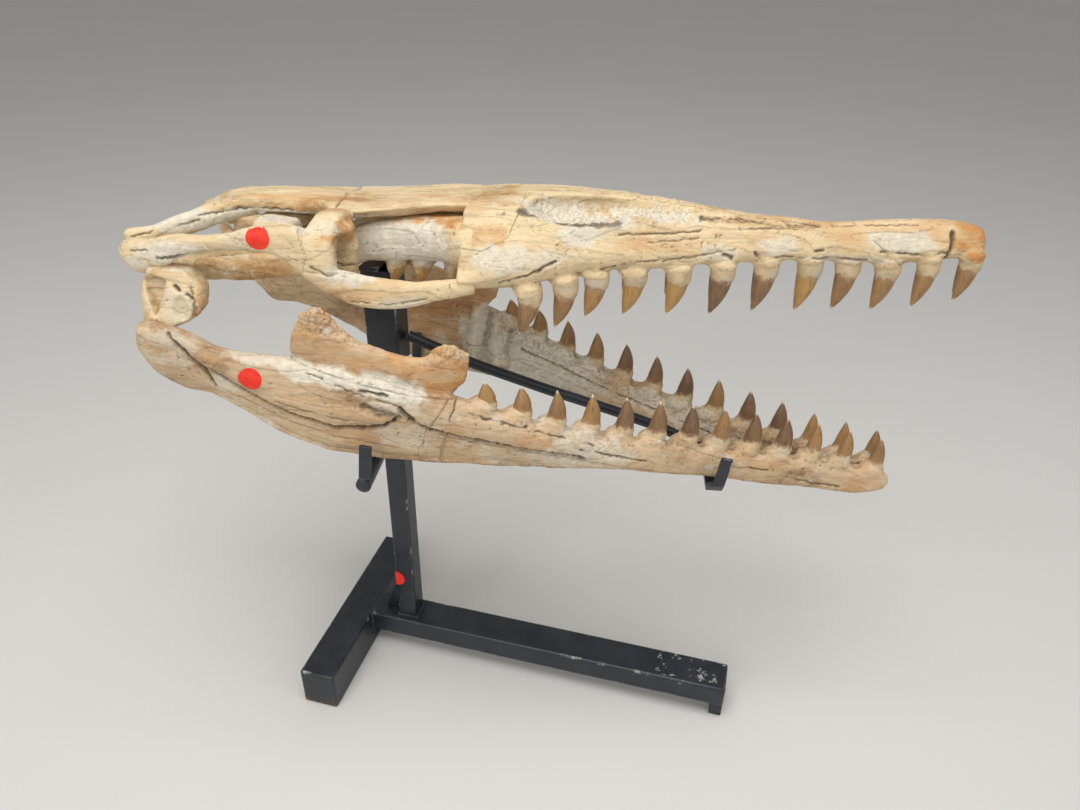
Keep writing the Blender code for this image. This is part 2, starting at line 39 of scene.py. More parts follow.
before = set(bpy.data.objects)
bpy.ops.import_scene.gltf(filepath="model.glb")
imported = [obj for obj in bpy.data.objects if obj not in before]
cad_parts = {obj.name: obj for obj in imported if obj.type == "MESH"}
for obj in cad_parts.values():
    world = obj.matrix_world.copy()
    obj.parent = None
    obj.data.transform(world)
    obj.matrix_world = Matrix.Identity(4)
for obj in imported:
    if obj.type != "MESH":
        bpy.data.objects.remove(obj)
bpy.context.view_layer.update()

MM = 0.001
POST_X = 62.9  # the post's middle, in millimetres


def placed(height, lean, drop):
    """The frame of the cranium or of the lower jaw, in millimetres."""
    return (
        Matrix.Translation((POST_X, 0.0, height))
        @ Matrix.Rotation(math.radians(lean), 4, "X")
        @ Matrix.Rotation(math.radians(drop), 4, "Y")
    )


CRANIUM = placed(430.0, -6.5, 0.0)
JAW = placed(330.0, -3.5, 12.0)
WORLD = Matrix.Identity(4)
BASE = Matrix.Translation((POST_X, 0.0, 0.0)) @ Matrix.Rotation(math.radians(-9.73), 4, "Z")
SIDES = ((-1, "R"), (1, "L"))
X_WAY, Y_WAY, Z_WAY = np.eye(3)[:, None]
HALF_SEAM = 0.12  # half of the gap where a form is cut into bones
FAR = 300  # beyond the skull's sides
WEAR_STEP = 0.6  # how far each round of wear moves a point to the mean of its neighbours


# ---- Settings --------------------------------------------------------------------------


def colour(name, description, default):
    return bpy.props.FloatVectorProperty(
        name=name, description=description, default=default, size=3, min=0.0, max=1.0, subtype="COLOR"
    )


def millimetres(name, description, default):
    settings = {"default": default * MM, "min": 0.0, "unit": "LENGTH", "subtype": "DISTANCE"}
    return bpy.props.FloatProperty(name=name, description=description, **settings)


class MosasaurBoneSettings(bpy.types.PropertyGroup):
    """Sizes and colours of the bones."""

    detail: millimetres("Surface Detail", "Edge length of the bones' surface faces", 1.2)
    lumps: millimetres("Lumps", "Height of the broad unevenness of the bone", 0.7)
    fibres: millimetres("Fibres", "Depth of the grain that runs along the bones", 0.3)
    pits: millimetres("Pits", "Depth of the small pits", 0.55)
    skull_colour: colour("Skull Bone", "Main colour of the cranium", (0.72, 0.56, 0.335))
    skull_shade: colour("Skull Bone, Darker", "Tan of the cranium's worn parts", (0.47, 0.285, 0.12))
    jaw_colour: colour("Jaw Bone", "Main colour of the lower jaw", (0.60, 0.435, 0.265))
    jaw_shade: colour("Jaw Bone, Darker", "Tan of the lower jaw's grain", (0.34, 0.195, 0.095))
    stain: colour("Iron Stain", "Orange-brown stain", (0.56, 0.265, 0.08))
    plaster: colour("Plaster", "Grey-white filler and rock matrix", (0.80, 0.735, 0.60))
    # Painted shade: the colour that cracks, pits, grooves and hollows are darkened towards.
    hollow_shadow: colour("Hollows", "Colour deep in cracks and hollows", (0.07, 0.042, 0.024))


class MosasaurToothSettings(bpy.types.PropertyGroup):
    """Sizes and colours of the teeth."""

    bend: millimetres("Backward Bend", "How far the middle of a tooth bows forward", 3.2)
    collar_colour: colour("Collar", "Colour of the swollen root collar", (0.60, 0.46, 0.27))
    honey: colour("Honey Enamel", "Colour of the paler crowns", (0.50, 0.28, 0.09))
    brown: colour("Brown Enamel", "Colour of the darker crowns", (0.15, 0.085, 0.055))


class MosasaurStandSettings(bpy.types.PropertyGroup):
    """Sizes and colours of the steel stand."""

    edge: millimetres("Bar Edge", "Rounding of the square bars' edges", 2.5)
    weld: millimetres("Weld Width", "Width of a weld bead", 5.0)
    paint: colour("Paint", "Blue-black satin paint", (0.011, 0.0135, 0.019))
    bare: colour("Bare Steel", "Steel where the paint has worn away", (0.42, 0.42, 0.43))
    sticker: colour("Sticker", "Plain round stickers", (0.78, 0.02, 0.008))


class MosasaurStageSettings(bpy.types.PropertyGroup):
    """Floor and light."""

    floor: colour("Floor", "Plain pale floor", (0.70, 0.69, 0.67))
    light: bpy.props.FloatProperty(
        name="Main Light", description="Power of the overhead light", default=33.5, min=0.0, unit="POWER"
    )


# ---- Noise and relief, in millimetres ----------------------------------------------------

LATTICE, LATTICE_SEED = 256, 4321
UNBROKEN_WIDTH = 3.1  # thinner drawn lines fade in places, like cracks


def unit(rows):
    return rows / np.linalg.norm(rows, axis=1)[:, None]


def noise(points, scale, seed):
    """Smooth noise from about -1 to 1; scale is the size of its lumps, in all or along each axis."""
    table = np.random.default_rng(LATTICE_SEED)
    slopes = unit(table.normal(size=(LATTICE, 3)))
    order = np.tile(table.permutation(LATTICE), 2)
    place = points / np.asarray(scale, float) + seed * np.array([17.13, 9.71, 5.37])
    cell = np.floor(place).astype(int)
    part = place - cell
    ease = part**3 * (part * (part * 6 - 15) + 10)
    total = np.zeros(len(points))
    for corner in np.ndindex(2, 2, 2):
        x, y, z = ((cell + corner) % LATTICE).T
        slope = slopes[order[order[order[x] + y] + z]]
        share = np.abs(1 - np.array(corner) - ease).prod(axis=1)
        total += ((part - corner) * slope).sum(axis=1) * share
    return total * 1.6


def layered(points, seed, *layers):
    """The sum of several layers of noise, each as (scale, seed step, share)."""
    return sum(share * noise(points, scale, seed + step) for scale, step, share in layers)


def smooth_step(low, high, value):
    t = np.clip((value - low) / (high - low), 0, 1)
    return t * t * (3 - 2 * t)


# Views of drawn lines: the facing direction, the two axes drawn on, and the side of the skull.
VIEWS = {
    "right": ((0, -1, 0), (0, 2), -1),
    "left": ((0, 1, 0), (0, 2), 1),
    "inner_left": ((0, -1, 0), (0, 2), 1),
    "inner_right": ((0, 1, 0), (0, 2), -1),
    "top": ((0, 0, 1), (0, 1), 0),
    "under": ((0, 0, -1), (0, 1), 0),
}


def each_line(lines):
    """(view, width, depth, darkness, points) of each drawn line; "both" is for the right and the left."""
    for key, rows in lines.items():
        for view in ("right", "left") if key == "both" else (key,):
            for width, depth, dark, *points in rows:
                yield view, width, depth, dark, points


def line_strength(points, normals, view, width, line):
    """How strongly each point lies on a drawn line, from 0 to 1."""
    facing, axes, side = VIEWS[view]
    flat = points[:, axes]
    line = np.array(line, float)
    reach = width * 1.5
    near = ((flat > line.min(0) - reach) & (flat < line.max(0) + reach)).all(axis=1)
    if side:
        near &= points[:, 1] * side > 0
    chosen = np.flatnonzero(near)
    result = np.zeros(len(points))
    if not len(chosen):
        return result
    here = points[chosen]
    sway = min(1.2, width * 0.5)
    spot = flat[chosen] + sway * np.stack([noise(here, 7, 31), noise(here, 5, 32)], axis=1)
    best = np.full(len(chosen), np.inf)
    for a, b in zip(line, line[1:]):
        step = b - a
        t = np.clip(((spot - a) @ step) / (step @ step), 0, 1)
        best = np.minimum(best, np.linalg.norm(spot - a - t[:, None] * step, axis=1))
    turned = smooth_step(0.0, 0.35, normals[chosen] @ np.array(facing, float))
    broken = smooth_step(-0.55, 0.0, noise(here, 15, 33)) if width < UNBROKEN_WIDTH else 1.0
    result[chosen] = smooth_step(1.0, 0.1, best / (width * 0.85)) * turned * broken
    return result


def patch_strength(points, centre, radii, seed):
    """How strongly each point lies in an egg-shaped patch with a ragged edge."""
    far = np.linalg.norm((points - np.array(centre, float)) / np.array(radii, float), axis=1)
    return smooth_step(1.25, 0.8, far + 0.38 * noise(points, 11, seed) + 0.2 * noise(points, 4, seed + 3))


def grain(points, seed, bone):
    """(height, darkness) of the bone's own surface: lumps, fibres and cracks along X, flakes and pits; the
    darkness is painted shade in the cracks and pits.
    """
    lumps = layered(points, seed, (30, 0, 0.75), (13, 1, 0.5), (6, 3, 0.22))
    broad = noise(points, (70, 9, 9), seed + 2)
    fibres = layered(points, seed, ((26, 3.0, 3.0), 4, 0.6), ((14, 1.9, 1.9), 5, 0.4))
    crack = smooth_step(0.03, 0.0, np.abs(noise(points, (46, 8, 8), seed + 6)))
    crack *= smooth_step(0.1, 0.45, noise(points, (40, 22, 22), seed + 7))
    pits = smooth_step(0.42, 0.66, noise(points, 4.2, seed + 8))
    pits *= smooth_step(0.05, 0.4, noise(points, 25, seed + 9))
    flakes = smooth_step(0.0, 0.08, noise(points, (50, 12, 12), seed + 12)) * 0.55
    height = lumps * bone.lumps / MM + (broad * 0.9 + fibres) * bone.fibres / MM + flakes
    height -= crack * 0.8 + pits * bone.pits / MM
    # The darkness is painted shade deep in the cracks and pits.
    return height, np.maximum(crack * 0.32, pits * 0.26)


# ---- Forms: (points, faces) in millimetres -----------------------------------------------


def eased(rows, blur, step=2.5):
    """Finer rows between the given ones, with their corners softened over a length."""
    rows = np.array(rows, float)
    travel = np.concatenate([[0], np.cumsum(np.linalg.norm(np.diff(rows[:, :3], axis=0), axis=1))])
    count = max(int(travel[-1] / step), 8) + 1
    fine = np.linspace(0, travel[-1], count)
    made = np.stack([np.interp(fine, travel, column) for column in rows.T], axis=1)
    reach = min(max(int(round(blur / step)), 1), count - 1)
    before = 2 * made[0] - made[reach:0:-1]
    after = 2 * made[-1] - made[-2 : -reach - 2 : -1]
    long = np.concatenate([before, made, after])
    kernel = np.hanning(2 * reach + 3)[1:-1]
    kernel /= kernel.sum()
    soft = np.stack([np.convolve(column, kernel, "valid") for column in long.T], axis=1)
    return soft, fine


def shrink_at_ends(travel, ends):
    """Shares that close a loft in a rounded way over the given lengths at its two ends."""
    share = np.ones(len(travel))
    for distance, reach in ((travel, ends[0]), (travel[-1] - travel, ends[1])):
        if reach:
            t = np.clip(distance / reach, 0, 1)
            share = np.minimum(share, np.sqrt(1 - (1 - t) ** 2) * 0.82 + 0.18)
    return share


def ring_form(rings):
    """Closes a row of rings, as (rings, sides, 3), into one body."""
    count, sides, _ = rings.shape
    points = np.concatenate([rings.reshape(-1, 3), rings[0].mean(0)[None], rings[-1].mean(0)[None]])
    first, last = count * sides, count * sides + 1
    faces = []
    for i in range(sides):
        j = (i + 1) % sides
        for k in range(count - 1):
            faces.append((k * sides + i, k * sides + j, (k + 1) * sides + j, (k + 1) * sides + i))
        faces.append((first, j, i))
        faces.append((last, (count - 1) * sides + i, (count - 1) * sides + j))
    return points, faces


def swept(centres, across, upward, wide, high, sides, power, taper=0.0, foot=None):
    """Rounded boxes (a power of 2 makes ellipses) on the centres, closed into one body."""
    angle = 2 * np.pi * (np.arange(sides) + 0.5) / sides
    a, b = (np.sign(v) * np.abs(v) ** (2 / power) for v in (np.cos(angle), np.sin(angle)))
    shift = wide[:, None] * a * (1 - taper * b)
    if foot is not None:
        shift = shift + foot[:, None] * (1 - b) / 2
    rise = high[:, None] * b
    rings = centres[:, None] + across[:, None] * shift[..., None] + upward[:, None] * rise[..., None]
    return ring_form(rings)


def loft(stations, up=(0, 0, 1), sides=40, power=2.5, ends=(5, 5), blur=8.0):
    """Rings along a path: a station is (x, y, z, half width, half height)."""
    rows, travel = eased(stations, blur)
    along = unit(np.gradient(rows[:, :3], axis=0))
    across = unit(np.cross(along, np.array(up, float)))
    wide, high = rows[:, 3:].T * shrink_at_ends(travel, ends)
    return swept(rows[:, :3], across, np.cross(across, along), wide, high, sides, power)


def upright_loft(stations, sides=48, power=2.5, taper=0.0, ends=(5, 5), blur=8.0):
    """Rings square to X: a station is (x, y, lower z, upper z, half width[, foot shift])."""
    rows, travel = eased([(*s, 0.0)[:6] for s in stations], blur)
    x, y, low, top, wide, foot = rows.T
    share = shrink_at_ends(travel, ends)
    centres = np.stack([x, y, (low + top) / 2], axis=1)
    high = (top - low) / 2 * share
    return swept(centres, Y_WAY, Z_WAY, wide * share, high, sides, power, taper, foot)


def level_loft(stations, sides=40, power=2.5, ends=(3, 3), blur=6.0):
    """Level rings: a station is (x, y, z, half width along Y, half width along X)."""
    rows, travel = eased(stations, blur)
    wide, long = rows[:, 3:].T * shrink_at_ends(travel, ends)
    return swept(rows[:, :3], Y_WAY, X_WAY, wide, long, sides, power)


def ball(centre, radii, sides=24):
    """An egg-shaped body."""
    turn = np.linspace(0.12, np.pi - 0.12, 13)[:, None]
    angle = 2 * np.pi * np.arange(sides) / sides
    flat = (np.cos(angle) * np.sin(turn), np.sin(angle) * np.sin(turn), np.cos(turn) + 0 * angle)
    return ring_form(np.array(centre) + np.stack(flat, axis=-1) * np.array(radii))


def between(table, x):
    """Straight-line reading of a short profile ((x, value), ...)."""
    return float(np.interp(x, [row[0] for row in table], [row[1] for row in table]))


def column(table, index, x):
    """Straight-line reading of one column of a table of stations at many places along X."""
    return np.interp(x, [row[0] for row in table], [row[index] for row in table])


def lowered(rows, side, drop=0.0):
    """Stations of one side; a sixth number is the share of the drop that lowers the station."""
    return [(x, side * y, z - drop * sum(share), wide, high) for x, y, z, wide, high, *share in rows]


# ---- Meshes ------------------------------------------------------------------------------


def linked(name, data):
    """A new object, linked to the scene."""
    obj = bpy.data.objects.new(name, data)
    bpy.context.scene.collection.objects.link(obj)
    return obj


def mesh_of(form, name):
    """A mesh of a closed BMesh, with its faces turned outwards."""
    bmesh.ops.recalc_face_normals(form, faces=form.faces)
    mesh = bpy.data.meshes.new(name)
    form.to_mesh(mesh)
    form.free()
    return mesh


def mesh_from(forms, name):
    """One mesh of closed bodies."""
    form = bmesh.new()
    for points, faces in forms:
        made = [form.verts.new(point) for point in points]
        for face in faces:
            form.faces.new([made[i] for i in face])
    return mesh_of(form, name)


def evaluated(obj):
    """The mesh that an object's modifiers make; the object is removed."""
    graph = bpy.context.evaluated_depsgraph_get()
    graph.update()
    made = bpy.data.meshes.new_from_object(obj.evaluated_get(graph))
    bpy.data.objects.remove(obj)
    if not made.polygons:
        raise RuntimeError(f"nothing is left of {made.name}")
    return made


def with_modifier(mesh, kind, **settings):
    """The mesh after one modifier."""
    obj = linked("work", mesh)
    modifier = obj.modifiers.new("Work", kind)
    for key, value in settings.items():
        setattr(modifier, key, value)
    return evaluated(obj)


def boolean(mesh, other, operation):
    tool = linked("tool", other)
    made = with_modifier(mesh, "BOOLEAN", operation=operation, solver="MANIFOLD", object=tool)
    bpy.data.objects.remove(tool)
    return made


def fused(forms, name, size):
    """One skin over the bodies, with faces of the given size."""
    return with_modifier(mesh_from(forms, name), "REMESH", mode="VOXEL", voxel_size=size)


def carved(forms, name, cuts, size=1.6):
    """The bodies as one form, less the cutting meshes."""
    mesh = fused(forms, name, size)
    for cut in cuts:
        mesh = boolean(mesh, cut, "DIFFERENCE")
    return read_points(mesh)[0], [tuple(face.vertices) for face in mesh.polygons]


def read_points(mesh):
    """The points and normals of a mesh."""
    found = []
    for data, key in ((mesh.vertices, "co"), (mesh.vertex_normals, "vector")):
        values = np.empty(len(data) * 3, np.float32)
        data.foreach_get(key, values)
        found.append(values.reshape(-1, 3).astype(float))
    return found


def write_points(mesh, points):
    mesh.vertices.foreach_set("co", points.astype(np.float32).ravel())
    mesh.update()


def write_colours(mesh, name, *channels):
    """Keeps three values of each point as a colour attribute."""
    values = np.stack([*channels, np.ones(len(mesh.vertices))], axis=1)
    marks = mesh.attributes.new(name, "FLOAT_COLOR", "POINT")
    marks.data.foreach_set("color", values.astype(np.float32).ravel())


def neighbour_mean(mesh, points):
    """The mean of each point's neighbours."""
    edges = np.empty(len(mesh.edges) * 2, np.int32)
    mesh.edges.foreach_get("vertices", edges)
    total, count = np.zeros_like(points), np.zeros(len(points))
    a, b = edges.reshape(-1, 2).T
    for here, there in ((a, b), (b, a)):
        count += np.bincount(here, minlength=len(points))
        total += np.stack([np.bincount(here, axis[there], len(points)) for axis in points.T], axis=1)
    return total / np.maximum(count, 1)[:, None]


def weathered(forms, name, lines, seed, soften=3, shape=None):
    """One skin over the bodies, worn smooth, then given the bone's grain and the drawn lines."""
    bone = bpy.context.scene.mosasaur_bone
    mesh = fused(forms, name, bone.detail / MM)
    points, normals = read_points(mesh)
    for _ in range(soften):
        points = points + WEAR_STEP * (neighbour_mean(mesh, points) - points)
    write_points(mesh, points)
    points, normals = read_points(mesh)
    if shape:
        write_points(mesh, points + shape(points, normals))
        points, normals = read_points(mesh)
    height, _ = grain(points, seed, bone)
    for view, width, depth, _, line in each_line(lines):
        height -= depth * line_strength(points, normals, view, width, line)
    write_points(mesh, points + normals * height[:, None])
    mesh.name = name
    return mesh


def paint_marks(mesh, lines, patches, seed):
    """Keeps the plaster, stain and darkness of each point, as the bone materials read them; the darkness
    is painted shade in cracks, pits, grooves and hollows, with the dark of the joints between bones.
    """
    points, normals = read_points(mesh)
    marks = {"plaster": np.zeros(len(points)), "stain": np.zeros(len(points))}
    marks["dark"] = grain(points, seed, bpy.context.scene.mosasaur_bone)[1]
    for view, width, _, dark, line in each_line(lines):
        drawn = 0.7 * dark * line_strength(points, normals, view, width, line)
        marks["dark"] = np.maximum(marks["dark"], drawn)
    for kind, rows in patches.items():
        for x, y, z, *radii, strength in rows:
            value = strength * patch_strength(points, (x, y, z), radii, seed + len(kind))
            marks[kind] = np.maximum(marks[kind], value)
    # Painted shade: concave places are darkened, convex places a little less.
    inward = ((neighbour_mean(mesh, points) - points) * normals).sum(axis=1)
    marks["dark"] = np.clip(marks["dark"] + np.clip(inward * 3.0, -0.15, 0.45), 0, 1)
    write_colours(mesh, "marks", *marks.values())


def place_piece(mesh, name, place, finish, nodes, sharp=None):
    """Shows a finished mesh in the row frame, riding on the body and standing for its nodes."""
    mesh.transform(Matrix.Scale(MM, 4) @ place)
    mesh.name = name
    mesh.materials.clear()
    mesh.materials.append(material(finish))
    mesh.shade_smooth()
    if sharp:
        mesh.set_sharp_from_angle(angle=math.radians(sharp))
    mesh.update()
    obj = linked(name, mesh)
    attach(obj, "root")
    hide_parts(*nodes)


def bone_piece(mesh, node, lines, patches, seed, slot="fossil_bone"):
    """Paints and places one bone of the cranium or, with its slot, of the lower jaw."""
    paint_marks(mesh, lines, patches, seed)
    place, finish = BONE_SLOTS[slot]
    place_piece(mesh, f"{node}_bone", place, finish, [node], sharp=55)


def inset(outline, distance):
    """The outline, counter-clockwise, drawn in by a distance."""
    ways = unit(outline - np.roll(outline, 1, axis=0)), unit(np.roll(outline, -1, axis=0) - outline)
    first, second = (np.stack([-way[:, 1], way[:, 0]], axis=1) for way in ways)
    miter = first + second
    miter /= np.maximum(np.linalg.norm(miter, axis=1), 1e-6)[:, None]
    return outline + miter * (distance / np.maximum((miter * first).sum(axis=1), 0.4))[:, None]


def wandering(outline, step=3.5, sway=1.5):
    """The closed outline in short steps, each moved a little, always the same way at the same place."""
    points = []
    for a, b in zip(outline, outline[1:] + outline[:1]):
        a, b = np.array(a, float), np.array(b, float)
        span = np.linalg.norm(b - a)
        count = max(int(span / step), 1) if span < 200 else 1
        points += [a + (b - a) * k / count for k in range(count)]
    points = np.array(points)
    flat = np.stack([points[:, 0], np.zeros(len(points)), points[:, 1]], axis=1)
    return points + sway * np.stack([noise(flat, 8, 71), noise(flat, 8, 72)], axis=1)


def prism(outline, low_y, high_y, shrink=HALF_SEAM, steady=False):
    """A side-view outline of (x, z) points carried across Y."""
    points = inset(np.array(outline, float) if steady else wandering(list(outline)), shrink)
    form = bmesh.new()
    near, far = ([form.verts.new((x, y, z)) for x, z in points] for y in (low_y, high_y))
    for i in range(len(points)):
        j = (i + 1) % len(points)
        form.faces.new((near[i], near[j], far[j], far[i]))
    form.faces.new(near)
    form.faces.new(far)
    bmesh.ops.triangulate(form, faces=form.faces)
    return mesh_of(form, "prism")


def block(low, high):
    x0, y0, z0 = low
    x1, y1, z1 = high
    return prism([(x0, z0), (x1, z0), (x1, z1), (x0, z1)], y0, y1, 0.0, steady=True)


# ---- Materials ---------------------------------------------------------------------------


def shaded(shade, factor, lift=0.0):
    return tuple(c * factor + lift for c in shade)


class Nodes:
    """Short calls that add nodes to a node tree and link them."""

    def __init__(self, tree):
        self.tree = tree

    def add(self, kind, inputs=None, **settings):
        node = self.tree.nodes.new(kind)
        for key, value in settings.items():
            setattr(node, key, value)
        for key, value in (inputs or {}).items():
            self.put(value, node.inputs[key])
        return node

    def put(self, value, socket):
        if isinstance(value, bpy.types.NodeSocket):
            self.tree.links.new(value, socket)
        else:
            socket.default_value = value

    def math(self, operation, first, second=0.5, third=0.0):
        node = self.add("ShaderNodeMath", operation=operation)
        for value, socket in zip((first, second, third), node.inputs):
            self.put(value, socket)
        return node.outputs[0]

    def times(self, first, second):
        return self.math("MULTIPLY", first, second)


class MaterialNodes(Nodes):
    """The nodes of a new material."""

    def __init__(self, name):
        self.material = bpy.data.materials.new(name)
        self.material.use_nodes = True
        super().__init__(self.material.node_tree)
        self.shader = self.tree.nodes["Principled BSDF"]

    def attribute(self, name):
        return self.add("ShaderNodeAttribute", attribute_name=name).outputs

    def channels(self, name):
        """The three values of a colour attribute."""
        return list(self.add("ShaderNodeSeparateColor", {0: self.attribute(name)["Color"]}).outputs)[:3]

    def noise(self, scale, detail=4.0, stretch=(1, 1, 1), turn=(0, 0, 0), roughness=0.55):
        place = self.add("ShaderNodeTexCoord").outputs["Object"]
        settings = {"Vector": place, "Scale": stretch, "Rotation": turn}
        place = self.add("ShaderNodeMapping", settings).outputs[0]
        settings = {"Vector": place, "Scale": scale, "Detail": detail, "Roughness": roughness}
        return self.add("ShaderNodeTexNoise", settings).outputs["Fac"]

    def ramp(self, value, *stops):
        node = self.add("ShaderNodeValToRGB", {"Fac": value})
        elements = node.color_ramp.elements
        while len(elements) < len(stops):
            elements.new(0.5)
        for element, (place, shade) in zip(elements, stops):
            element.position = place
            element.color = (*shade, 1) if isinstance(shade, tuple) else (shade, shade, shade, 1)
        return node.outputs["Color"]

    def mix(self, share, first, second, blend="MIX"):
        node = self.add("ShaderNodeMix", data_type="RGBA", blend_type=blend, clamp_result=True)
        self.put(share, node.inputs[0])
        for value, socket in ((first, node.inputs[6]), (second, node.inputs[7])):
            self.put(value if isinstance(value, bpy.types.NodeSocket) else (*value, 1.0), socket)
        return node.outputs[2]

    def window(self, value, low, high):
        """0 below low, 1 above high, smooth between."""
        settings = {"Value": value, 1: low, 2: high}
        return self.add("ShaderNodeMapRange", settings, interpolation_type="SMOOTHSTEP").outputs[0]

    def spread(self, value, low, high):
        """The values from low to high for a share from 0 to 1."""
        return self.add("ShaderNodeMapRange", {"Value": value, 3: low, 4: high}).outputs[0]

    def bump(self, height, strength, distance):
        node = self.add("ShaderNodeBump", {"Height": height, "Strength": strength, "Distance": distance})
        self.put(node.outputs[0], self.shader.inputs["Normal"])

    def finish(self, base, roughness, specular):
        self.put(base, self.shader.inputs["Base Color"])
        self.put(roughness, self.shader.inputs["Roughness"])
        self.shader.inputs["Specular IOR Level"].default_value = specular


def bone_material(n):
    """Fossil bone: streaked cream and tan, stained, with plaster, and with painted shade darkening the
    hollows where the marks say.
    """
    bone = bpy.context.scene.mosasaur_bone
    jaw = n.material.name == "streaked_jaw_bone"
    light = tuple(bone.jaw_colour if jaw else bone.skull_colour)
    shade = tuple(bone.jaw_shade if jaw else bone.skull_shade)
    pale = shaded(light, 1.1, 0.03)
    turn = (0, math.radians(-12 if jaw else 0), 0)
    plaster, stain, dark = n.channels("marks")
    clouds = n.noise(24, 4, (0.55, 1, 1), turn, 0.6)
    streaks = n.noise(190, 5, (0.085, 1, 1), turn, 0.62)
    fine = n.noise(900, 4, (0.4, 1, 1), turn)
    specks = n.noise(1500, 2)
    base = n.ramp(clouds, (0.33, shade), (0.47, light), (0.64, pale), (0.8, light))
    band = n.ramp(streaks, (0.32, 0.5), (0.46, 0.9), (0.58, 1.0), (0.72, 0.78))
    base = n.mix(0.6 if jaw else 0.42, base, band, "MULTIPLY")
    mottled = n.window(n.noise(230, 5, (0.6, 1, 1), turn, 0.75), 0.47, 0.62)
    base = n.mix(n.times(mottled, 0.45), base, pale)
    blush = n.window(n.noise(38, 3, (0.6, 1, 1), turn), 0.56, 0.68)
    base = n.mix(n.times(blush, 0.45), base, [0.55 * a + 0.45 * b for a, b in zip(bone.stain, light)])
    patchy = n.window(n.noise(85, 4, (0.5, 1, 1), turn), 0.3, 0.62)
    # Real iron stain, and also painted shade: the brown shadow band under the frontal's edge over the
    # eyes.
    base = n.mix(n.times(stain, n.math("MULTIPLY_ADD", patchy, 0.75, 0.25)), base, bone.stain)
    chalk = n.noise(160, 5, roughness=0.7)
    chalk = n.ramp(chalk, (0.3, shaded(bone.plaster, 0.74)), (0.62, tuple(bone.plaster)))
    scattered = n.window(n.noise(30, 6, (0.7, 1, 1), turn, 0.72), 0.545 if jaw else 0.6, 0.66)
    filler = n.math("MAXIMUM", plaster, n.times(scattered, 0.6 if jaw else 0.4))
    base = n.mix(filler, base, chalk)
    base = n.mix(n.times(n.window(specks, 0.66, 0.74), 0.55), base, shaded(shade, 0.4))
    # Painted shade: the dark marks darken cracks, pits, grooves and hollows, and draw the dark joints
    # between bones.
    base = n.mix(n.times(dark, 0.86), base, bone.hollow_shadow)
    height = n.math("ADD", n.times(streaks, 0.9), n.times(fine, 0.55))
    height = n.math("SUBTRACT", height, n.times(n.window(specks, 0.62, 0.74), 0.5))
    n.bump(height, 0.85, 0.0012)
    n.finish(base, n.spread(clouds, 0.56, 0.8), 0.35)


def tooth_material(n):
    """Cream collars below streaked enamel crowns, each tooth by its own tint."""
    teeth = bpy.context.scene.mosasaur_teeth
    height, tint = n.attribute("height")["Fac"], n.attribute("tint")["Fac"]
    edge = n.noise(210, 4)
    fibres = n.noise(420, 4, (1, 1, 0.14))
    clouds = n.noise(95, 4)
    tint = n.math("MULTIPLY_ADD", clouds, 0.5, n.math("SUBTRACT", tint, 0.25))
    crown = n.mix(tint, teeth.honey, teeth.brown)
    crown = n.mix(0.75, crown, n.ramp(fibres, (0.32, 0.55), (0.5, 1.0), (0.66, 0.8)), "MULTIPLY")
    tip = n.window(n.math("MULTIPLY_ADD", edge, 0.10, height), 0.96, 1.03)
    crown = n.mix(tip, crown, (0.66, 0.56, 0.42))
    collar = tuple(teeth.collar_colour)
    collar = n.ramp(clouds, (0.32, shaded(collar, 0.72)), (0.55, collar))
    collar = n.mix(n.times(n.window(n.noise(60, 3), 0.5, 0.62), 0.6), collar, (0.50, 0.47, 0.40))
    border = n.math("MULTIPLY_ADD", edge, 0.26, n.math("MULTIPLY_ADD", clouds, 0.16, height))
    share = n.window(border, 0.56, 0.66)
    rim = n.times(n.window(border, 0.56, 0.6), n.window(border, 0.65, 0.61))
    base = n.mix(n.times(rim, 0.45), n.mix(share, collar, crown), (0.30, 0.13, 0.05))
    n.bump(n.math("ADD", fibres, n.noise(800, 3)), 0.3, 0.0005)
    n.finish(base, n.spread(share, 0.74, 0.36), 0.45)


def paint_material(n):
    """Blue-black satin paint, with dust and scratches, and bare edges, chips and rust as the wear says."""
    stand = bpy.context.scene.mosasaur_stand
    edge, chips, rust = n.channels("wear")
    dust = n.noise(34, 5, roughness=0.65)
    base = n.ramp(dust, (0.35, tuple(stand.paint)), (0.7, shaded(stand.paint, 1.9, 0.004)))
    scratch = n.window(n.noise(300, 3, (0.05, 1, 1), (0, 0, math.radians(20))), 0.705, 0.74)
    base = n.mix(n.times(scratch, 0.22), base, (0.12, 0.12, 0.12))
    worn = n.window(n.times(edge, n.math("MULTIPLY_ADD", n.noise(46, 5), 0.9, 0.45)), 0.95, 1.06)
    chipped = n.window(n.times(chips, n.noise(110, 5, roughness=0.7)), 0.585, 0.63)
    bare = n.math("MAXIMUM", worn, chipped)
    metal = n.ramp(n.noise(260, 4), (0.35, shaded(stand.bare, 0.45)), (0.65, tuple(stand.bare)))
    base = n.mix(bare, base, metal)
    spots = n.window(n.times(rust, n.math("ADD", n.noise(120, 5), 0.3)), 0.62, 0.85)
    base = n.mix(n.times(spots, 0.7), base, (0.22, 0.105, 0.05))
    n.bump(n.math("SUBTRACT", n.noise(520, 3), n.times(bare, 0.8)), 0.16, 0.0004)
    n.finish(base, n.math("ADD", n.math("MULTIPLY_ADD", dust, 0.34, 0.19), n.times(spots, 0.3)), 0.5)


def sticker_material(n):
    red = tuple(bpy.context.scene.mosasaur_stand.sticker)
    faded = n.noise(110, 3)
    base = n.ramp(faded, (0.35, red), (0.7, (min(1, red[0] * 1.05), red[1] * 2.4, red[2] * 2.4)))
    n.bump(n.noise(700, 2), 0.12, 0.0003)
    n.finish(base, n.math("MULTIPLY_ADD", faded, 0.2, 0.42), 0.4)


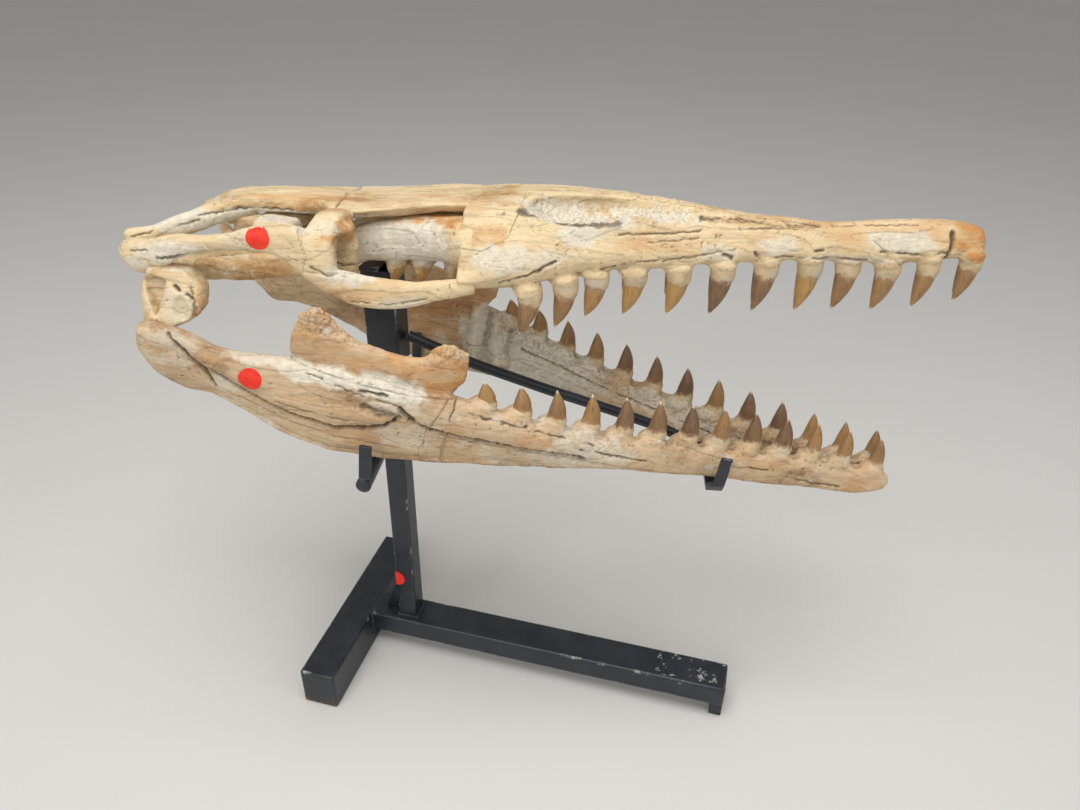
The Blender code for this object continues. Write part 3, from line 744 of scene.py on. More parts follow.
def floor_material(n):
    floor = tuple(bpy.context.scene.mosasaur_stage.floor)
    n.finish(n.ramp(n.noise(2.2, 4), (0.3, shaded(floor, 0.975)), (0.7, floor)), 0.75, 0.25)


MATERIALS = {
    "weathered_skull_bone": bone_material,
    "streaked_jaw_bone": bone_material,
    "tooth_enamel": tooth_material,
    "worn_black_paint": paint_material,
    "red_sticker": sticker_material,
    "pale_floor": floor_material,
}
BONE_SLOTS = {"fossil_bone": (CRANIUM, "weathered_skull_bone"), "jaw_bone": (JAW, "streaked_jaw_bone")}


def material(name):
    """The named material, made when it is first asked for."""
    if name not in bpy.data.materials:
        MATERIALS[name](MaterialNodes(name))
    return bpy.data.materials[name]


# ---- Cranium -----------------------------------------------------------------------------

# Stations: x, half width, lower z, upper z.
SNOUT = (
    (84, 84, 57, 131.5), (118, 77, 58, 136), (150, 68, 62, 137), (182, 57, 71, 136.5),
    (215, 49, 75, 135), (250, 41, 76, 132), (290, 33, 79, 127), (340, 25.5, 85, 121.5),
    (400, 19.5, 88, 118.5), (450, 17, 87, 123), (490, 16, 91, 125.5), (512, 13.5, 95, 124),
    (525, 9.5, 99, 120.5), (531, 4, 106, 115),
)
# Stations of the nostril's trough: x, y, z, half width, half height.
NARIS = (
    (129, 48, 135, 4, 8), (150, 39, 131, 14, 14), (172, 31, 127, 17, 15), (216, 25, 130, 14, 14),
    (258, 17.5, 132, 8, 11), (292, 13, 132, 3, 6),
)
NARIS_SLIT = (
    (134, 54, 125, 2, 2), (160, 50, 121, 4.5, 4), (186, 45, 119.5, 6, 6), (206, 40, 122, 5.5, 5.5),
    (228, 33.5, 126, 2, 2),
)
UPPER_TEETH = 12
UPPER_TOOTH_X = ((0, 138), (1, 168), (2, 194), (3, 227), (5, 304), (7, 380), (8, 413), (11, 516))
FAR_TOOTH_SHIFT = ((0, -13), (1, -7), (3, 0), (5, 4), (11, 6))
UPPER_TOOTH_LENGTH = (
    (132, 40), (165, 43), (195, 39), (265, 43), (304, 47), (380, 49), (450, 45), (512, 42),
)
# Side-view outlines that cut the snout into its bones.
BEHIND = [(0, -700), (468, -700), (468, 40), (468, 82), (400, 132), (400, 170), (400, 700), (0, 700)]
BROW = [(0, 98), (102, 98), (124, 108), (134, 135), (134, 160), (0, 160)]
CHEEK = [(0, -700), (700, -700), (700, 160), (134, 160), (134, 135), (124, 108), (102, 98), (0, 98)]

# The bar of the premaxilla between the maxillae, and the space cut for it: low and high corners.
TONGUE = (112, -8, 112), (480, 8, FAR)
TONGUE_SPACE = (111.8, -8.2, 111.8), (470, 8.2, FAR)
# Where the noise of each form starts; the two halves of a pair share it.
SEEDS = {
    "snout": 3, "frontal": 5, "parietal": 6, "cheek": 11,
    "quadrate": 14, "braincase": 21, "pterygoid": 22, "ramus": 41,
}

# Drawn lines of each view: width, depth, darkness and the line's points; the darkness is painted shade in
# a groove or crack, and the dark of the joint where the line is a seam between bones.
SNOUT_LINES = {
    "right": (
        (2.6, 2.4, 0.9, (119, 72), (143, 79), (164, 90)),
        (2.0, 1.5, 0.6, (216, 110), (250, 110), (284, 112)),
        (1.7, 1.2, 0.7, (318, 114), (353, 115), (370, 117)),
        (2.6, 2.5, 1.0, (373, 99), (380, 98), (390, 99.5)), (1.8, 1.6, 0.9, (201, 80), (214, 83)),
        (1.8, 1.6, 0.9, (232, 88), (250, 89)), (2.0, 1.2, 0.6, (255, 88), (285, 93), (315, 98)),
        (3.2, 3.0, 1.0, (306, 94), (313, 91)), (3.0, 2.6, 0.9, (333, 95), (339, 91)),
        (1.6, 1.1, 0.5, (234, 103), (267, 105), (284, 107)), (2.0, 1.4, 0.6, (113, 123), (119, 124)),
        (4.0, 3.5, 1.0, (498, 117), (499, 108), (497, 94)),
        (2.4, 1.8, 0.8, (440, 100), (461, 99), (478, 98), (496, 102)),
        (2.0, 1.4, 0.7, (345, 92), (380, 92), (430, 92)),
    ),
    "left": (
        (2.4, 2.0, 0.8, (112, 74), (150, 84), (172, 92)),
        (1.8, 1.4, 0.7, (205, 84), (245, 89), (270, 90)),
        (1.7, 1.2, 0.6, (300, 106), (345, 110), (380, 111)),
        (3.4, 3.0, 1.0, (499, 116), (498, 106), (496, 94)),
    ),
    "both": (
        (3.0, 3.0, 0.9, (284, 121), (318, 120), (362, 117), (398, 117)),
        (1.2, 0.7, 0.5, (468, 88), (468, 82), (400, 132)),
        (1.2, 0.7, 0.4, (86, 98), (102, 98), (124, 108), (132, 128)),
    ),
    "top": (
        (1.8, 1.0, 0.6, (112, 8), (300, 8), (470, 8)), (1.8, 1.0, 0.6, (112, -8), (300, -8), (470, -8)),
    ),
}
# Patches of each kind: centre, radii and strength.
SNOUT_PATCHES = {
    "plaster": (
        (119, -76, 92, 22, 30, 11, 0.8), (150, -68, 92, 26, 30, 7, 0.55),
        (184, -54, 110, 20, 22, 9, 0.85), (172, -32, 121, 58, 20, 13, 0.95),
        (238, -22, 124, 48, 11, 9, 0.9), (172, 32, 121, 58, 20, 13, 0.95),
        (238, 22, 124, 48, 11, 9, 0.9), (455, -17, 108, 28, 14, 9, 0.8),
        (352, -24, 102, 18, 12, 7, 0.7), (300, -30, 95, 16, 12, 7, 0.6), (420, -18, 92, 40, 12, 4, 0.5),
        (140, 70, 88, 30, 24, 12, 0.7), (330, 26, 100, 40, 12, 7, 0.6),
    ),
    "stain": (
        (520, 0, 110, 22, 30, 22, 1.0), (492, -8, 118, 26, 20, 9, 0.5),
        (109, -70, 110, 15, 20, 9, 0.55), (250, -36, 100, 60, 16, 7, 0.35),
        (360, -12, 119, 70, 14, 5, 0.45), (410, 0, 114, 60, 30, 9, 0.35),
    ),
    # Painted shade deep in the nostril troughs and slits.
    "dark": (
        (142, -46, 126, 15, 9, 4, 1.0), (142, 46, 126, 15, 9, 4, 1.0), (188, -43, 120, 32, 8, 5.2, 1.0),
        (188, 43, 120, 32, 8, 5.2, 1.0),
    ),
}


def snout_shape(points, normals):
    """Hollow palate, wavy lip, rock in the nostrils, shallow side band, bevelled rear and root waves."""
    x, y, z = points.T
    width, floor = column(SNOUT, 1, x), column(SNOUT, 2, x)
    away, flank = np.abs(y), smooth_step(0.3, 0.8, np.abs(normals[:, 1]))
    inside = smooth_step(1.0, 0.55, away / np.maximum(width - 13, 3)) * smooth_step(8, 25, width)
    inside *= smooth_step(-0.3, -0.8, normals[:, 2]) * (z < floor + 20)
    inside *= 1 - 0.6 * smooth_step(9, 3, away) * smooth_step(20, 30, width)
    lip = smooth_step(9, 2, z - floor) * np.sin(x / 16.6) * smooth_step(0.4, 0.9, away / width)
    rock = smooth_step(1.15, 0.75, np.abs(away - np.interp(x, (129, 172, 292), (44, 28, 13))) / 17)
    rock *= smooth_step(128, 150, x) * smooth_step(300, 270, x) * smooth_step(137, 131, z) * (z > 108)
    band = smooth_step(13, 0, np.abs(z - np.interp(x, (110, 180, 330), (112, 106, 106))))
    band *= smooth_step(100, 140, x) * smooth_step(380, 280, x) * flank
    bevel = smooth_step(108, 86, x) * smooth_step(119, 109, z) * smooth_step(72, 84, z)
    roots = smooth_step(28, 8, z - floor) * np.cos(x * 2 * np.pi / 35) * flank
    moved = normals * (0.8 * roots - 2.2 * band)[:, None]
    moved[:, 1] -= 10 * np.sign(y) * bevel * smooth_step(20, 50, away)
    moved[:, 2] += 8 * inside - 1.1 * lip
    moved[:, 2] += rock * layered(points, 91, (5, 0, 1.5), (2.4, 1, 0.9))
    return moved


def upper_tooth_places(side):
    """(root, tip, radius) of each upper tooth of one side."""
    widths = [(s[0], s[1]) for s in SNOUT]
    floors = [(s[0], s[2]) for s in SNOUT]
    for i in range(UPPER_TEETH):
        x = between(UPPER_TOOTH_X, i) + (between(FAR_TOOTH_SHIFT, i) if side > 0 else 0)
        y = side * max(between(widths, x) - 9.5, 8.8)
        z = between(floors, x) + 1.5
        tip = z - between(UPPER_TOOTH_LENGTH, x)
        yield (x + 3, y, z), (x - 4, y, tip), 11.5 if i < UPPER_TEETH - 2 else 10


class MOSASAUR_OT_snout(bpy.types.Operator):
    """Premaxilla, maxillae and prefrontals, with filled nostrils between them"""

    bl_idname = "mosasaur.snout"
    bl_label = "Snout"

    def execute(self, context):
        stations = [(x, 0, low, top, wide) for x, wide, low, top in SNOUT]
        forms = [upright_loft(stations, sides=72, power=2.6, taper=0.27, ends=(0, 5), blur=12)]
        cuts = []
        for side, _ in SIDES:
            for (x, y, z), _, radius in upper_tooth_places(side):
                forms.append(ball((x, y, z + 1), (radius * 1.12, radius * 0.98, 8)))
            for rows in (NARIS, NARIS_SLIT):
                cuts.append(mesh_from([loft(lowered(rows, side), power=2.0)], "nostril"))
        form = carved(forms, "snout", cuts)
        whole = weathered([form], "snout", SNOUT_LINES, SEEDS["snout"], shape=snout_shape)
        waste = boolean(prism(BEHIND, -FAR, FAR), block(*TONGUE), "DIFFERENCE")
        self.add(boolean(whole, waste, "DIFFERENCE"), "premaxilla")
        for side, mark in SIDES:
            near, away = sorted((side * HALF_SEAM, side * FAR))
            rest = boolean(whole, prism(BEHIND, near, away), "INTERSECT")
            rest = boolean(rest, block(*TONGUE_SPACE), "DIFFERENCE")
            self.add(boolean(rest, prism(BROW, -FAR, FAR), "INTERSECT"), f"prefrontal_{mark}")
            self.add(boolean(rest, prism(CHEEK, -FAR, FAR), "INTERSECT"), f"maxilla_{mark}")
        return {"FINISHED"}

    def add(self, mesh, node):
        bone_piece(mesh, node, SNOUT_LINES, SNOUT_PATCHES, SEEDS["snout"])


# Stations as for upright_loft().
FRONTAL = (
    (-29, 0, 108, 123, 48.5), (0, 0, 110, 124, 48), (30, 0, 112, 127, 42), (60, 0, 116, 130, 39),
    (88, 0, 117, 131, 38),
)
PARIETAL = (
    (-132, 0, 108, 121, 22), (-110, 0, 106.4, 124, 24), (-70, 0, 107, 125, 26), (-40, 0, 108, 125, 34),
    (-26.5, 0, 108, 123, 49),
)
ARM = ((-108, 13, 115, 8, 8), (-135, 28, 109, 8, 9.5), (-160, 43, 101, 7.5, 9.5))
ARM_ENDS = {
    "R": ((-186, 56, 92, 7, 8), (-209, 67, 91, 5, 6.5)),
    "L": ((-180, 53, 91, 7, 8), (-192, 58, 86, 6, 7)),
}
ROOF_LINES = {
    "right": (
        (1.8, 1.2, 0.8, (-200, 93), (-180, 97), (-150, 104)),
        (1.8, 1.2, 0.8, (-150, 108), (-128, 111), (-110, 112)),
    ),
    "both": (
        (2.6, 1.6, 0.75, (-132, 113), (-105, 112), (-70, 112), (-35, 113)),
    ),
    "top": (
        (2.2, 1.6, 0.35, (58, -17), (85, -20), (108, -26)),
        (2.2, 1.6, 0.35, (58, 17), (85, 20), (108, 26)),
        (1.6, 1.0, 0.6, (-27, -50), (-25, -20), (-31, 0), (-25, 22), (-27, 50)),
        (1.3, 0.8, 0.5, (-20, -4), (20, 3), (55, -3), (84, 2)),
    ),
}
ROOF_PATCHES = {
    "plaster": (
        (-100, -24, 108, 70, 9, 5, 0.95), (-150, -46, 103, 52, 30, 9, 0.9),
        (-100, 24, 108, 70, 9, 5, 0.8), (-160, 46, 98, 50, 30, 8, 0.6), (-30, -48, 112, 40, 12, 6, 0.8),
        (0, 40, 122, 25, 14, 9, 0.5),
    ),
    "stain": (
        (-70, -22, 124, 60, 8, 5, 0.55), (-60, -27, 113, 40, 8, 4, 0.6), (66, -18, 131, 40, 7, 6, 0.4),
        # Painted shade: this stain patch at (20, -50, 113) is the brown shadow under the frontal's edge
        # over the eye.
        (20, -50, 113, 60, 9, 5, 0.8),
    ),
}


def crowned(points, normals):
    """A low keel along the frontal's middle and thin edges over the eyes."""
    moved = np.zeros_like(points)
    away = np.abs(points[:, 1])
    crown = 0.8 * smooth_step(8, 0, away) - 1.6 * smooth_step(30, 54, away)
    moved[:, 2] = smooth_step(0.2, 0.8, normals[:, 2]) * crown
    return moved


class MOSASAUR_OT_skull_roof(bpy.types.Operator):
    """Frontal and forked parietal"""

    bl_idname = "mosasaur.skull_roof"
    bl_label = "Skull Roof"

    def execute(self, context):
        form = upright_loft(FRONTAL, sides=64, power=3.2, taper=-0.2, ends=(2, 0))
        mesh = weathered([form], "frontal", ROOF_LINES, SEEDS["frontal"], shape=crowned)
        bone_piece(mesh, "frontal", ROOF_LINES, ROOF_PATCHES, SEEDS["frontal"])
        arms = [loft(lowered(ARM + ARM_ENDS[mark], side)) for side, mark in SIDES]
        forms = [upright_loft(PARIETAL, sides=56, power=3.2, ends=(4, 1)), *arms]
        mesh = weathered(forms, "parietal", ROOF_LINES, SEEDS["parietal"])
        bone_piece(mesh, "parietal", ROOF_LINES, ROOF_PATCHES, SEEDS["parietal"])
        return {"FINISHED"}


FAR_SAG = 12.0  # how far the left cheek is pressed down
QUADRATE_LIFT = 13.0
# Stations as for loft(), with the share of the sag that lowers each.
ARCH = (
    (-202, 80, 91, 7, 8), (-195, 82, 84, 9, 14), (-184, 85, 81, 10, 15), (-168, 90, 85, 9, 13),
    (-150, 93, 94, 8, 9.5), (-128, 94, 98, 7, 6.5), (-104, 94, 100, 7, 7), (-80, 93, 104, 7, 10.5, 0.5),
    (-52, 93, 104.5, 7.5, 12, 1), (-39, 93, 101.5, 8, 11.5, 1),
)
PLATE = (
    (-27.6, 93, 78, 7, 13), (-27.6, 93, 90, 7.5, 13.4), (-27, 92, 103, 8, 13.4, 0.5),
    (-26, 85, 111, 7, 13, 1), (-24, 70, 117, 7, 12, 1), (-22, 44, 115, 5.5, 12, 1 / 3),
)
LUMP = (
    (-17, 62, 68, 5, 6, 1), (-16, 62, 80, 7, 10.5, 1), (-15, 62, 95, 7, 11, 1), (-15, 63, 114, 5, 7, 1),
)
# The broad sheet where the arch, the postorbital and the jugal meet: x, lower z, upper z, half width.
WEB = (
    (-78, 95, 111, 5.5), (-60, 90, 115, 6.5), (-46, 78, 113, 7.5), (-34, 68, 108, 8), (-22, 64, 104, 7.5),
    (-14, 62, 88, 6),
)
# Stations as for upright_loft().
JUGAL = (
    (-39, 93, 73, 81, 5), (-32, 93, 66, 81, 6), (-20, 93, 59, 81, 6.5), (-6, 93, 53, 80.5, 6.5),
    (12, 93, 49, 77.5, 6.5), (30, 92, 49.5, 74, 6.5), (52, 90, 53, 72.5, 6), (74, 85, 58, 75, 5.5),
    (98, 76.5, 61, 75, 4.5),
)
# Stations as for level_loft(), with the share of the lift.
QUADRATE = (
    (-172, 101, 17, 8, 7, 1), (-173, 100, 24, 12, 12, 0.8), (-160, 97, 34, 14, 22, 0.6),
    (-156, 95, 46, 14, 27, 0.3), (-155, 93, 60, 14, 27), (-156, 91, 67, 13, 23),
)
QUADRATE_TOP = (-160, 91, 78, 10, 17)
QUADRATE_POCKET = [(-179, 68), (-174, 52), (-168, 35), (-161, 52), (-157, 68)]
CHEEK_REGIONS = {
    "temporal_arch": [(-260, 20), (-44, 20), (-44, 60), (-41, 81), (-37, 92), (-46, 140), (-260, 140)],
    "jugal": [(-44, 20), (140, 20), (140, 80), (-6, 79), (-41, 81), (-44, 60)],
    "postorbital": [(-41, 81), (-6, 79), (140, 80), (140, 140), (-46, 140), (-37, 92)],
}
CHEEK_LINES = {
    "right": (
        (1.2, 0.6, 0.35, (-44, 60), (-41, 81), (-37, 92), (-46, 125)),
        (1.2, 0.6, 0.35, (-41, 81), (-24, 79), (-6, 79)),
        (2.6, 2.2, 1.0, (-164, 84), (-150, 86), (-138, 88), (-122, 91)),
        (1.6, 1.2, 0.8, (-190, 88), (-172, 90)), (2.0, 1.4, 0.8, (-34, 84), (-20, 78), (-6, 77)),
        (1.6, 1.0, 0.6, (-2, 56), (30, 55), (60, 60)), (3.4, 3.4, 1.0, (-150, 63), (-146, 60)),
        (2.4, 2.4, 0.9, (-140, 57), (-136, 53)), (2.6, 1.6, 0.6, (-136, 62), (-134, 44), (-140, 30)),
        (1.5, 0.9, 0.5, (-168, 34), (-160, 24), (-166, 16)),
    ),
    "left": (
        (2.4, 2.0, 0.9, (-164, 76), (-142, 84), (-122, 88)),
    ),
}
CHEEK_PATCHES = {
    "plaster": (
        (-150, -99, 88, 34, 12, 12, 0.9), (-180, -88, 78, 16, 14, 8, 0.8),
        (-92, -99, 99, 20, 12, 12, 0.4), (-4, -97, 80, 20, 12, 9, 0.9), (-20, -98, 118, 30, 14, 8, 0.6),
        (40, -97, 54, 20, 12, 8, 0.6), (-150, -108, 44, 14, 8, 16, 0.5),
        (-150, 96, 84, 34, 12, 14, 0.7), (10, 97, 60, 30, 12, 10, 0.6),
    ),
    "stain": (
        (-20, -62, 110, 16, 12, 14, 0.9), (-14, -84, 112, 16, 22, 9, 0.85),
        (10, -99, 62, 34, 12, 6, 0.4), (-172, -105, 26, 16, 16, 12, 0.55),
        (-130, -100, 40, 7, 16, 26, 0.6), (-165, -106, 55, 8, 7, 14, 0.8),
        (-60, 96, 96, 26, 14, 8, 0.5),
    ),
    # Painted shade in the hollow at the rear wall of the near eye opening.
    "dark": (
        (-12, -86, 104, 5, 12, 12, 0.4),
    ),
}


def quadrate_stations(side, extra=0.0):
    """The quadrate's level rings; the extra size makes its socket in the lower jaw."""
    rows = lowered(QUADRATE, side, -QUADRATE_LIFT if side > 0 else 0.0)
    rows = [(x, y, z, wide + extra, long + extra) for x, y, z, wide, long in rows]
    x, y, z, wide, long = rows[0]
    return [(x, y, z - extra, wide, long), *rows[1:]]


class MOSASAUR_OT_cheeks(bpy.types.Operator):
    """Temporal arches, postorbitals, jugals and quadrates of both sides"""

    bl_idname = "mosasaur.cheeks"
    bl_label = "Cheek Bones"

    def execute(self, context):
        for side, mark in SIDES:
            whole = weathered(self.forms(side), "cheek", CHEEK_LINES, SEEDS["cheek"], soften=9)
            for name, outline in CHEEK_REGIONS.items():
                mesh = boolean(whole, prism(outline, -200, 200), "INTERSECT")
                bone_piece(mesh, f"{name}_{mark}", CHEEK_LINES, CHEEK_PATCHES, SEEDS["cheek"])
            mesh = weathered([self.quadrate(side)], "quadrate", CHEEK_LINES, SEEDS["quadrate"])
            bone_piece(mesh, f"quadrate_{mark}", CHEEK_LINES, CHEEK_PATCHES, SEEDS["quadrate"])
        return {"FINISHED"}

    def forms(self, side):
        sag = FAR_SAG if side > 0 else 0.0
        web = [(x, side * 93.5, low - sag / 2, top - sag, wide) for x, low, top, wide in WEB]
        jugal = [(x, side * y, low, top, wide) for x, y, low, top, wide in JUGAL]
        return [
            loft(lowered(ARCH, side, sag), blur=9),
            loft(lowered(PLATE, side, sag), up=(1, 0, 0), power=3.0, ends=(0, 3)),
            loft(lowered(LUMP, side, sag), up=(1, 0, 0), power=2.0, ends=(4, 0)),
            upright_loft(web, power=3.0, ends=(10, 3), blur=12),
            ball((-22, side * 72, 110.5 - sag), (17, 22, 6)),
            upright_loft(jugal, ends=(4, 0)),
        ]

    def quadrate(self, side):
        """A thick, hooked block: a raised rim round a three-cornered pocket on its outer face."""
        stations = quadrate_stations(side) + lowered([QUADRATE_TOP], side)
        form = level_loft(stations, power=3.2, ends=(2, 4), blur=1.5)
        pocket = prism(QUADRATE_POCKET, *sorted((side * 98, side * 130)), 0.0)
        dish = mesh_from([ball((-145, side * 112, 46), (9, 7, 15))], "dish")
        return carved([form], "quadrate", [pocket, dish], size=1.4)


PALATE_PATCHES = {
    "plaster": (
        (36, -42, 92, 72, 26, 20, 1.0), (36, 42, 92, 72, 26, 20, 1.0), (-90, -34, 96, 60, 14, 22, 0.9),
        (-90, 34, 96, 60, 14, 22, 0.9), (-120, -46, 70, 20, 14, 12, 0.6),
    ),
    "stain": (
        # Painted shade: the first two stain patches, at z 115, are the brown shadow band under the
        # frontal's edges.
        (25, -46, 115, 75, 24, 5, 1.0), (25, 46, 115, 75, 24, 5, 1.0), (60, -46, 88, 40, 14, 10, 0.4),
        (-100, -44, 66, 50, 14, 12, 0.35),
    ),
}
BRAIN_CORE = (
    (-176, 0, 54, 74, 16), (-166, 0, 50, 77, 26), (-124, 0, 48, 78, 28), (-112, 0, 47, 101, 24),
    (-96, 0, 47, 107, 22), (-72, 0, 52, 107, 20), (-50, 0, 60, 84, 14),
)
BRAIN_WING = ((-140, 12, 62, 7, 9), (-164, 44, 63, 6, 8), (-178, 64, 67, 5, 7), (-187, 75, 71, 4, 6))
BRAIN_WALL = (
    (-104, 34, 86, 106, 12), (-97, 33, 80, 107, 19), (-84, 33, 80, 107, 19), (-64, 35, 82, 106, 15),
)
BRAIN_LINES = {
    "right": ((2.6, 2.0, 0.7, (-118, 98), (-90, 92), (-62, 96)),),
    "under": ((3, 2.0, 0.7, (-160, 0), (-70, 0)),),
}
PTERYGOID = (
    (-150, 70, 66, 5, 8), (-138, 62, 66, 6, 10), (-104, 50, 66, 7, 11), (-66, 42, 69, 7, 12),
    (-34, 36, 76, 8, 14), (-8, 31, 88, 11, 16), (34, 30, 94, 15, 19), (60, 33, 96, 20, 19.5),
    (76, 37, 97, 24, 19), (88, 44, 97, 25, 21), (102, 46, 97, 22, 18),
)
PTERYGOID_TEETH = ((16, 50), (40, 51), (68, 56))  # x and the tip's z
PTERYGOID_TOOTH_Y = 29


class MOSASAUR_OT_braincase(bpy.types.Operator):
    """Braincase with its condyle and wings, and the two pterygoids"""

    bl_idname = "mosasaur.braincase"
    bl_label = "Braincase and Palate"

    def execute(self, context):
        forms = [upright_loft(BRAIN_CORE, power=2.8), ball((-182, 0, 60), (13, 13, 12))]
        for side, _ in SIDES:
            forms.append(loft(lowered(BRAIN_WING, side)))
            wall = [(x, side * y, low, top, wide) for x, y, low, top, wide in BRAIN_WALL]
            forms.append(upright_loft(wall, power=3.0))
        mesh = weathered(forms, "braincase", BRAIN_LINES, SEEDS["braincase"])
        bone_piece(mesh, "braincase", BRAIN_LINES, PALATE_PATCHES, SEEDS["braincase"])
        for side, mark in SIDES:
            forms = [loft(lowered(PTERYGOID, side), ends=(4, 0))]
            for x, _ in PTERYGOID_TEETH:
                forms.append(ball((x + 3, side * PTERYGOID_TOOTH_Y, 77), (9, 9, 11)))
                forms.append(ball((x + 1, side * PTERYGOID_TOOTH_Y, 69), (6.4, 6.4, 10)))
            mesh = weathered(forms, "pterygoid", {}, SEEDS["pterygoid"])
            bone_piece(mesh, f"pterygoid_{mark}", {}, PALATE_PATCHES, SEEDS["pterygoid"])
        return {"FINISHED"}


# ---- Lower jaw ---------------------------------------------------------------------------

# Stations: x, lower z, upper z, half width, inward shift of the foot.
RAMUS = (
    (-207, 75, 98, 7, 4), (-192, 52, 103, 11, 8), (-166, 39, 100, 14, 15), (-142, 43, 90, 14, 11),
    (-107, 35, 95, 12, 5), (-76, 23.5, 99, 11, 0), (-34, 13, 99, 11, 4), (6, 13, 98, 11, 9),
    (63, 18.5, 94, 12, 10), (106, 25, 88, 13, 8), (150, 31, 79.5, 12.5, 2), (226, 38.5, 73, 12, -1),
    (314, 38, 72, 11, 0), (372, 38, 72, 10, -1), (430, 41.5, 75, 9, -1), (470, 45.5, 77.5, 8.2, 0),
    (489, 54, 76, 7, 0), (497, 60, 71, 4, 0),
)
# How far the tooth row lies from the middle: x, y.
JAW_ROW = (
    (-207, 116), (-100, 115), (20, 107), (90, 96.5), (147, 81), (212, 60.5), (277, 40.5), (338, 24),
    (405, 11), (441, 7.8),
)
# Stations: x, lower z, upper z, half width.
CORONOID = (
    (-79, 100, 124, 4), (-70, 94, 146, 5), (-57, 92, 150.5, 5), (-44, 90, 138, 5), (-27, 88, 127, 6),
    (8, 86, 121.5, 6.5), (32, 87, 124, 6.5), (48, 90, 141.5, 6), (60, 92, 139.5, 5),
    (71, 110, 132, 3.5),
)
LOWER_TEETH = 13
LOWER_TOOTH_X = ((0, 88), (12, 473))
LOWER_TIP_Z = 112.0
TOOTH_SPACING = 32.1
# Height of the long groove on the outer face: x, z.
GROOVE = ((-160, 84), (-141, 75), (-103, 60), (-64, 49), (-32, 45), (20, 62), (190, 51))
# Side-view lines between the bones of the jaw, and the regions that they bound.
CREST_LINE = [(-88, 102), (-60, 97), (-20, 92), (30, 91), (60, 93), (77, 96)]
HINGE_LINE = [(-184, 130), (-178, 96), (-149, 72), (-136, 58)]
ANGULAR_LINE = [(-136, 58), (-105, 50), (-64, 39), (-30, 33), (44, 30)]
JOINT_LINE = [(44, 30), (47, 56), (56, 80), (60, 93)]
SPLENIAL_LINE = [(47, 56), (71, 54), (124, 52), (172, 50), (285, 42)]
LOW, HIGH, REAR, FRONT = -60, 200, -260, 560
JAW_REGIONS = {
    "coronoid": CREST_LINE + [(84, HIGH), (-88, HIGH)],
    "articular": [(REAR, LOW), (-136, LOW)] + HINGE_LINE[::-1] + [(REAR, 130)],
    "angular": [(-136, LOW), (44, LOW)] + ANGULAR_LINE[::-1],
    "surangular": ANGULAR_LINE + JOINT_LINE[1:] + CREST_LINE[-3::-1] + [(-88, 130)] + HINGE_LINE[:3],
    "splenial": [(44, LOW), (285, LOW)] + SPLENIAL_LINE[::-1] + [(44, 30)],
    "dentary": [(285, LOW), (FRONT, LOW), (FRONT, HIGH), (84, HIGH), (77, 96), (60, 93), (56, 80)]
    + SPLENIAL_LINE,
}
JAW_LINES = {
    "right": (
        (3.2, 3.6, 0.9, (-178, 98), (-162, 87), (-147, 74), (-137, 57)),
        (3.8, 5.0, 1.0, (-141, 76), (-122, 67), (-103, 60), (-64, 49), (-32, 44), (-8, 46),
            (10, 53), (22, 66)),
        (6.0, 5.0, 0.9, (24, 73), (33, 69)), (1.6, 1.0, 0.5, (-110, 66), (-60, 58), (-20, 55)),
        (4.6, 4.6, 1.0, (22, 78), (32, 66), (50, 60), (67, 58)),
        (4.0, 4.6, 1.0, (67, 58), (95, 57), (120, 56), (146, 54), (168, 54), (190, 51)),
        (1.5, 1.6, 0.8, (66, 97), (67, 86), (65, 77), (68, 66), (67, 58), (63, 40), (64, 22)),
        (7.5, 3.4, 0.75, (-8, 72), (6, 69), (24, 68)), (3.2, 3.0, 1.0, (-14, 86), (-4, 87), (9, 87)),
        (2.4, 2.2, 0.95, (80, 84), (104, 81), (132, 78)),
        (1.8, 1.6, 0.85, (140, 76), (165, 72), (196, 67)),
        (2.2, 2.0, 0.9, (185, 62), (215, 58), (250, 55)),
        (1.6, 1.2, 0.7, (-60, 93), (-20, 84), (20, 80)),
        (1.6, 1.4, 0.6, (70, 34), (110, 36), (150, 38)),
        (3.0, 2.4, 0.9, (118, 31), (135, 31), (158, 33)), (2.0, 1.6, 0.8, (352, 58), (372, 57)),
        (2.2, 1.6, 0.8, (395, 52), (425, 50), (450, 52)),
    ),
    "left": (
        (2.4, 2.0, 0.85, (-178, 98), (-162, 87), (-147, 74), (-137, 57)),
        (2.6, 2.4, 0.9, (-141, 74), (-103, 60), (-64, 50), (-20, 46), (20, 50)),
        (3.6, 3.6, 0.95, (46, 60), (100, 56), (168, 52), (240, 48)),
        (1.6, 1.4, 0.7, (120, 76), (180, 68), (240, 62)),
    ),
    "inner_left": (
        (11.0, -6.0, 0.0, (54, 92), (57, 70), (56, 46)),
        (11.0, -6.0, 0.0, (80, 88), (82, 66), (82, 42)), (7.0, 4.5, 0.25, (69, 92), (70, 66), (70, 44)),
        (7.0, 3.5, 0.2, (96, 84), (94, 60), (96, 44)), (2.6, 2.0, 0.5, (110, 66), (200, 58), (330, 54)),
    ),
    "inner_right": (
        (3.0, 2.6, 0.6, (60, 58), (150, 54), (280, 52)),
    ),
    "both": tuple(
        (1.3, 0.7, 0.45, *line) for line in (CREST_LINE, ANGULAR_LINE, JOINT_LINE, SPLENIAL_LINE)
    ),
}
